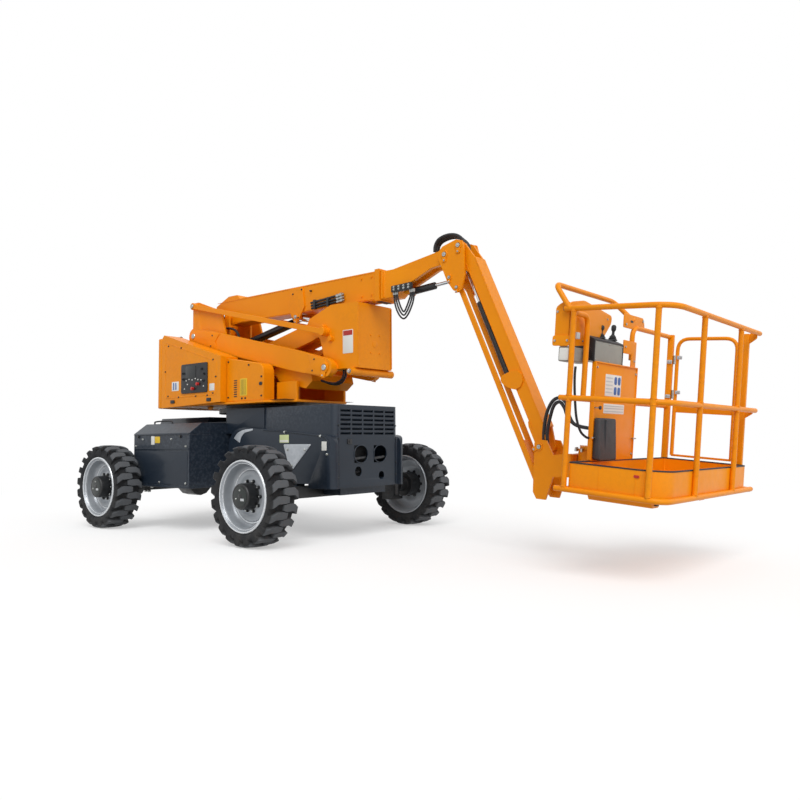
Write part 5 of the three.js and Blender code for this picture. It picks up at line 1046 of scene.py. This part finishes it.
def makeArms():
    # doubler plates at the lower arm's ends, notched like an arrow's tail
    rear = roundCorners([[-50, -64], [440, -90], [388, 0], [440, 90], [-50, 64]], [30, 6, 6, 6, 30], 5)
    fore = roundCorners([[1790, -90], [1850, 0], [1790, 90], [2036, 72], [2078, 0], [2036, -72]],
        [6, 6, 6, 30, 40, 30], 5)
    addPlates("arm_doublers", mirrored([(rear, -341, -334, 1.5), (fore, -341, -334, 1.5)]), "lower_arm")
    places = [[x, -341, z] for x, z in ((330, 56), (330, -56), (1886, 52), (1886, -52))]
    addBoltPair("arm_doubler_bolts", places, "lower_arm", 13, "blackEnamel")
    addPins("knee_pins", 341, [(2030, 0, 48)], "lower_arm")
    # knuckle: front plate's bolts and marks, side labels, cross tube and hexagonal boss
    addBolts("knuckle_front_bolts", [[1571, y, z] for y in (-56, 62) for z in (1650, 1810)], (1, 0, 0),
        "riser_knuckle", 13, "orangeEnamel")
    marks = [(rectangle(-30, 34, 1700, 1760, 28), 1570, 1573, 1, "yz")]
    addPlates("knuckle_oval", marks, "riser_knuckle")
    labels = [(rectangle(1392, 1516, 1640, 1850, 5), -232, -229.8, 0.4)]
    addPlates("knuckle_labels", mirrored(labels), "riser_knuckle", "whiteVinyl")
    addPlates("knuckle_label_bands", mirrored([(rectangle(1398, 1510, 1800, 1844, 3), -232.8, -231.8, 0.3)]),
        "riser_knuckle", "redVinyl")
    addTubes("knuckle_cross_tube", [np.array([[1522, y, 1473] for y in (-284, 284)])], 34, "riser_knuckle", sides=24)
    addBolts("knuckle_tube_ends", [[1522, -284, 1473]], (0, -1, 0), "riser_knuckle", 34)
    addBolts("knuckle_bosses", [[1150, -231, 1900], [1250, -231, 1790]], (0, -1, 0), "riser_knuckle", 52,
        "orangeEnamel")
    edges = [np.array([[1574, side * 226, 1520], [1574, side * 226, 2080]]) for side in (-1, 1)]
    addTubes("knuckle_edge_welds", edges, 5, "riser_knuckle", sides=8)
    # post and boom: pins, the lift cylinder's, collar, weld seams and the valve block with its chrome nuts
    addPins("post_pins", 156, [(-430, 2185, 46)], "boom_post")
    addPins("boom_ram_pins", 110, [(640, 2070, 34)], "main_boom")
    addPins("neck_pins", 116, [(2437, 2386, 34)], "jib_head_bracket")
    addPins("jib_pins", 116, [(2575, 2438, 34)], "jib_head_bracket")
    addPins("link_pins", 116, [(2557, 2096, 24), (2484, 2188, 24)], "jib_head_bracket")
    seams = [np.array([[-620, side * 95.5, z], [1640, side * 95.5, z]]) for side in (-1, 1) for z in (2122, 2358)]
    addTubes("boom_seams", seams, 3, "main_boom", sides=8)
    bolts = [[x, -96, z] for x in (1500, 1620) for z in (2160, 2320)]
    addBoltPair("boom_pad_bolts", bolts, "main_boom", 15, "orangeEnamel")
    # pipe unions along the boom's side: dark springs ending in bright nuts
    way = np.array([1, 0, 0.1])
    pipes = [np.array([[862, -108 - 4 * n, 2128 + 26 * n], [1210, -108 - 4 * n, 2152 + 26 * n]]) for n in range(3)]
    addTubes("boom_pipes", pipes, 11, "main_boom", "hoseRubber", sides=12)
    nut = [[0, 15], [30, 15], [32, 11], [44, 11], [46, 17], [74, 17], [76, 8], [92, 7]]
    grids = [turnedGrid(nut, p[1] - [8, 0, 0.8], way, 6) for p in pipes]
    addPiece("boom_pipe_nuts", grids, "main_boom", "zincPlate", angle=25)
    clips = [(rectangle(x, x + 26, 2116, 2204, 5), -130, -95, 3) for x in (900, 1080)]
    addPlates("boom_pipe_clips", clips, "main_boom", "blackEnamel")
    # bright wiper frame round the boom's mouth
    ring = rectangle(-99, 99, 2108, 2372, 12, 5)
    lip = np.stack([np.full(len(ring), 1711.0), ring[:, 0], ring[:, 1]], 1)
    addTubes("boom_mouth_frame", [np.concatenate([lip, lip[:2]])], 5, "main_boom", "galvanisedSheet", sides=8)
    ears = [[x, -110, z] for x, z in ((604, 2060), (676, 2060), (600, 2300), (846, 2300), (724, 2330))]
    addBoltPair("boom_ear_bolts", ears, "main_boom", 14, "blackEnamel")
    wear = [(rectangle(-70, 70, 2092, 2110, 4), 1650, 1712, 3, "yz")]
    addPlates("boom_collar_pad", wear, "main_boom", "blackAbs")
    # neck: valve block, chrome stub and hose unions
    valve = [(roundCorners([[1850, 2150], [2073, 2150], [2073, 2214], [1850, 2206]], 8, 4), -104, -76, 4)]
    addPlates("neck_valve_block", valve, "fly_boom", "blackEnamel")
    addBolts("neck_valve_nuts", [[x, -104, z] for x in (1886, 1940, 1994, 2048) for z in (2170, 2192)], (0, -1, 0),
        "fly_boom", 18)
    union = [[0, 9.4], [14, 9.4], [16, 8.6], [26, 8.6], [28, 7.6]]
    grids = [turnedGrid(union, (x, -90, 2126), (0, 0, 1), 6) for x in (1874, 1894, 1914, 2058, 2078, 2098)]
    addPiece("neck_unions", grids, "fly_boom", "zincPlate", angle=20)
    # jib: weld seams along its corners
    seams = [np.array([[160, side * 73.5, z], [1630, side * 73.5, z]]) for side in (-1, 1) for z in (-16, 76)]
    addTubes("jib_seams", seams, 2.5, "jib", sides=8)
    addPins("bracket_pins", 116, [(1775, 0, 30)], "platform_bracket", toJib)
    # bolts of the rotator's flange
    turn = np.arange(8) * math.pi / 4
    flange = [[82 * math.cos(a), 82 * math.sin(a), 236] for a in turn]
    addBolts("rotator_bolts", flange, (0, 0, 1), "platform", 18)


makeArms()
print("stage: arms")


# 1 for the named kinds of ray, 0 for the rest
def rayShare(tree, *kinds):
    share = 0.0
    for kind in kinds:
        share = addNode(tree, "Math", {0: share, 1: addNode(tree, "LightPath", {}, kind)}, operation="MAXIMUM")
    return share


# floor, light and background
def makeStudio():
    mesh = bpy.data.meshes.new("studio_floor")
    mesh.from_pydata([(-60, -60, 0), (60, -60, 0), (60, 60, 0), (-60, 60, 0)], [], [(0, 1, 2, 3)])
    floor = bpy.data.objects.new("studio_floor", mesh)
    bpy.context.scene.collection.objects.link(floor)
    material, tree, output, place = newMaterial("paleFloor")
    away = addNode(tree, "VectorMath", {0: place}, "Value", operation="LENGTH")
    fade = addNode(tree, "MapRange", {"Value": away, "From Min": 4.0, "From Max": 9.0})
    card = addNode(tree, "BsdfDiffuse", {"Color": (0.62, 0.62, 0.62, 1)})
    lift = addNode(tree, "Emission", {"Color": (1, 1, 1, 1), "Strength": 0.42})
    near = addNode(tree, "AddShader", {0: card, 1: lift})
    white = addNode(tree, "Emission", {"Color": (1, 1, 1, 1), "Strength": 1.0})
    seen = addNode(tree, "MixShader", {0: fade, 1: near, 2: white})
    shown = rayShare(tree, "Is Camera Ray", "Is Glossy Ray")
    tree.links.new(addNode(tree, "MixShader", {0: shown, 1: card, 2: seen}), output)
    mesh.materials.append(material)

    world = bpy.data.worlds.new("studio")
    bpy.context.scene.world = world
    world.use_nodes = True
    tree = world.node_tree
    tree.nodes.clear()
    shown = rayShare(tree, "Is Camera Ray", "Is Transmission Ray", "Is Glossy Ray")
    strength = addNode(tree, "MapRange", {"Value": shown, "To Min": 0.5, "To Max": 1.0})
    back = addNode(tree, "Background", {"Color": (1, 1, 1, 1), "Strength": strength})
    tree.links.new(back, tree.nodes.new("ShaderNodeOutputWorld").inputs["Surface"])

    for name, strength, angle, towards in (("key", 1.75, 40, (-0.42, 0.52, -0.74)),
        ("fill", 0.5, 60, (-0.9, -0.1, -0.35))):
        lamp = bpy.data.lights.new(name, "SUN")
        lamp.energy = strength
        lamp.angle = math.radians(angle)
        sun = bpy.data.objects.new(name, lamp)
        bpy.context.scene.collection.objects.link(sun)
        way = np.array(towards) / np.linalg.norm(towards)
        side = np.cross(way, [0, 0, 1])
        side /= np.linalg.norm(side)
        up = np.cross(side, way)
        sun.matrix_world = Matrix([[side[i], up[i], -way[i], 0] for i in range(3)] + [[0, 0, 0, 1]])
    bpy.context.scene.view_settings.view_transform = "Standard"


makeStudio()
print("stage: studio")
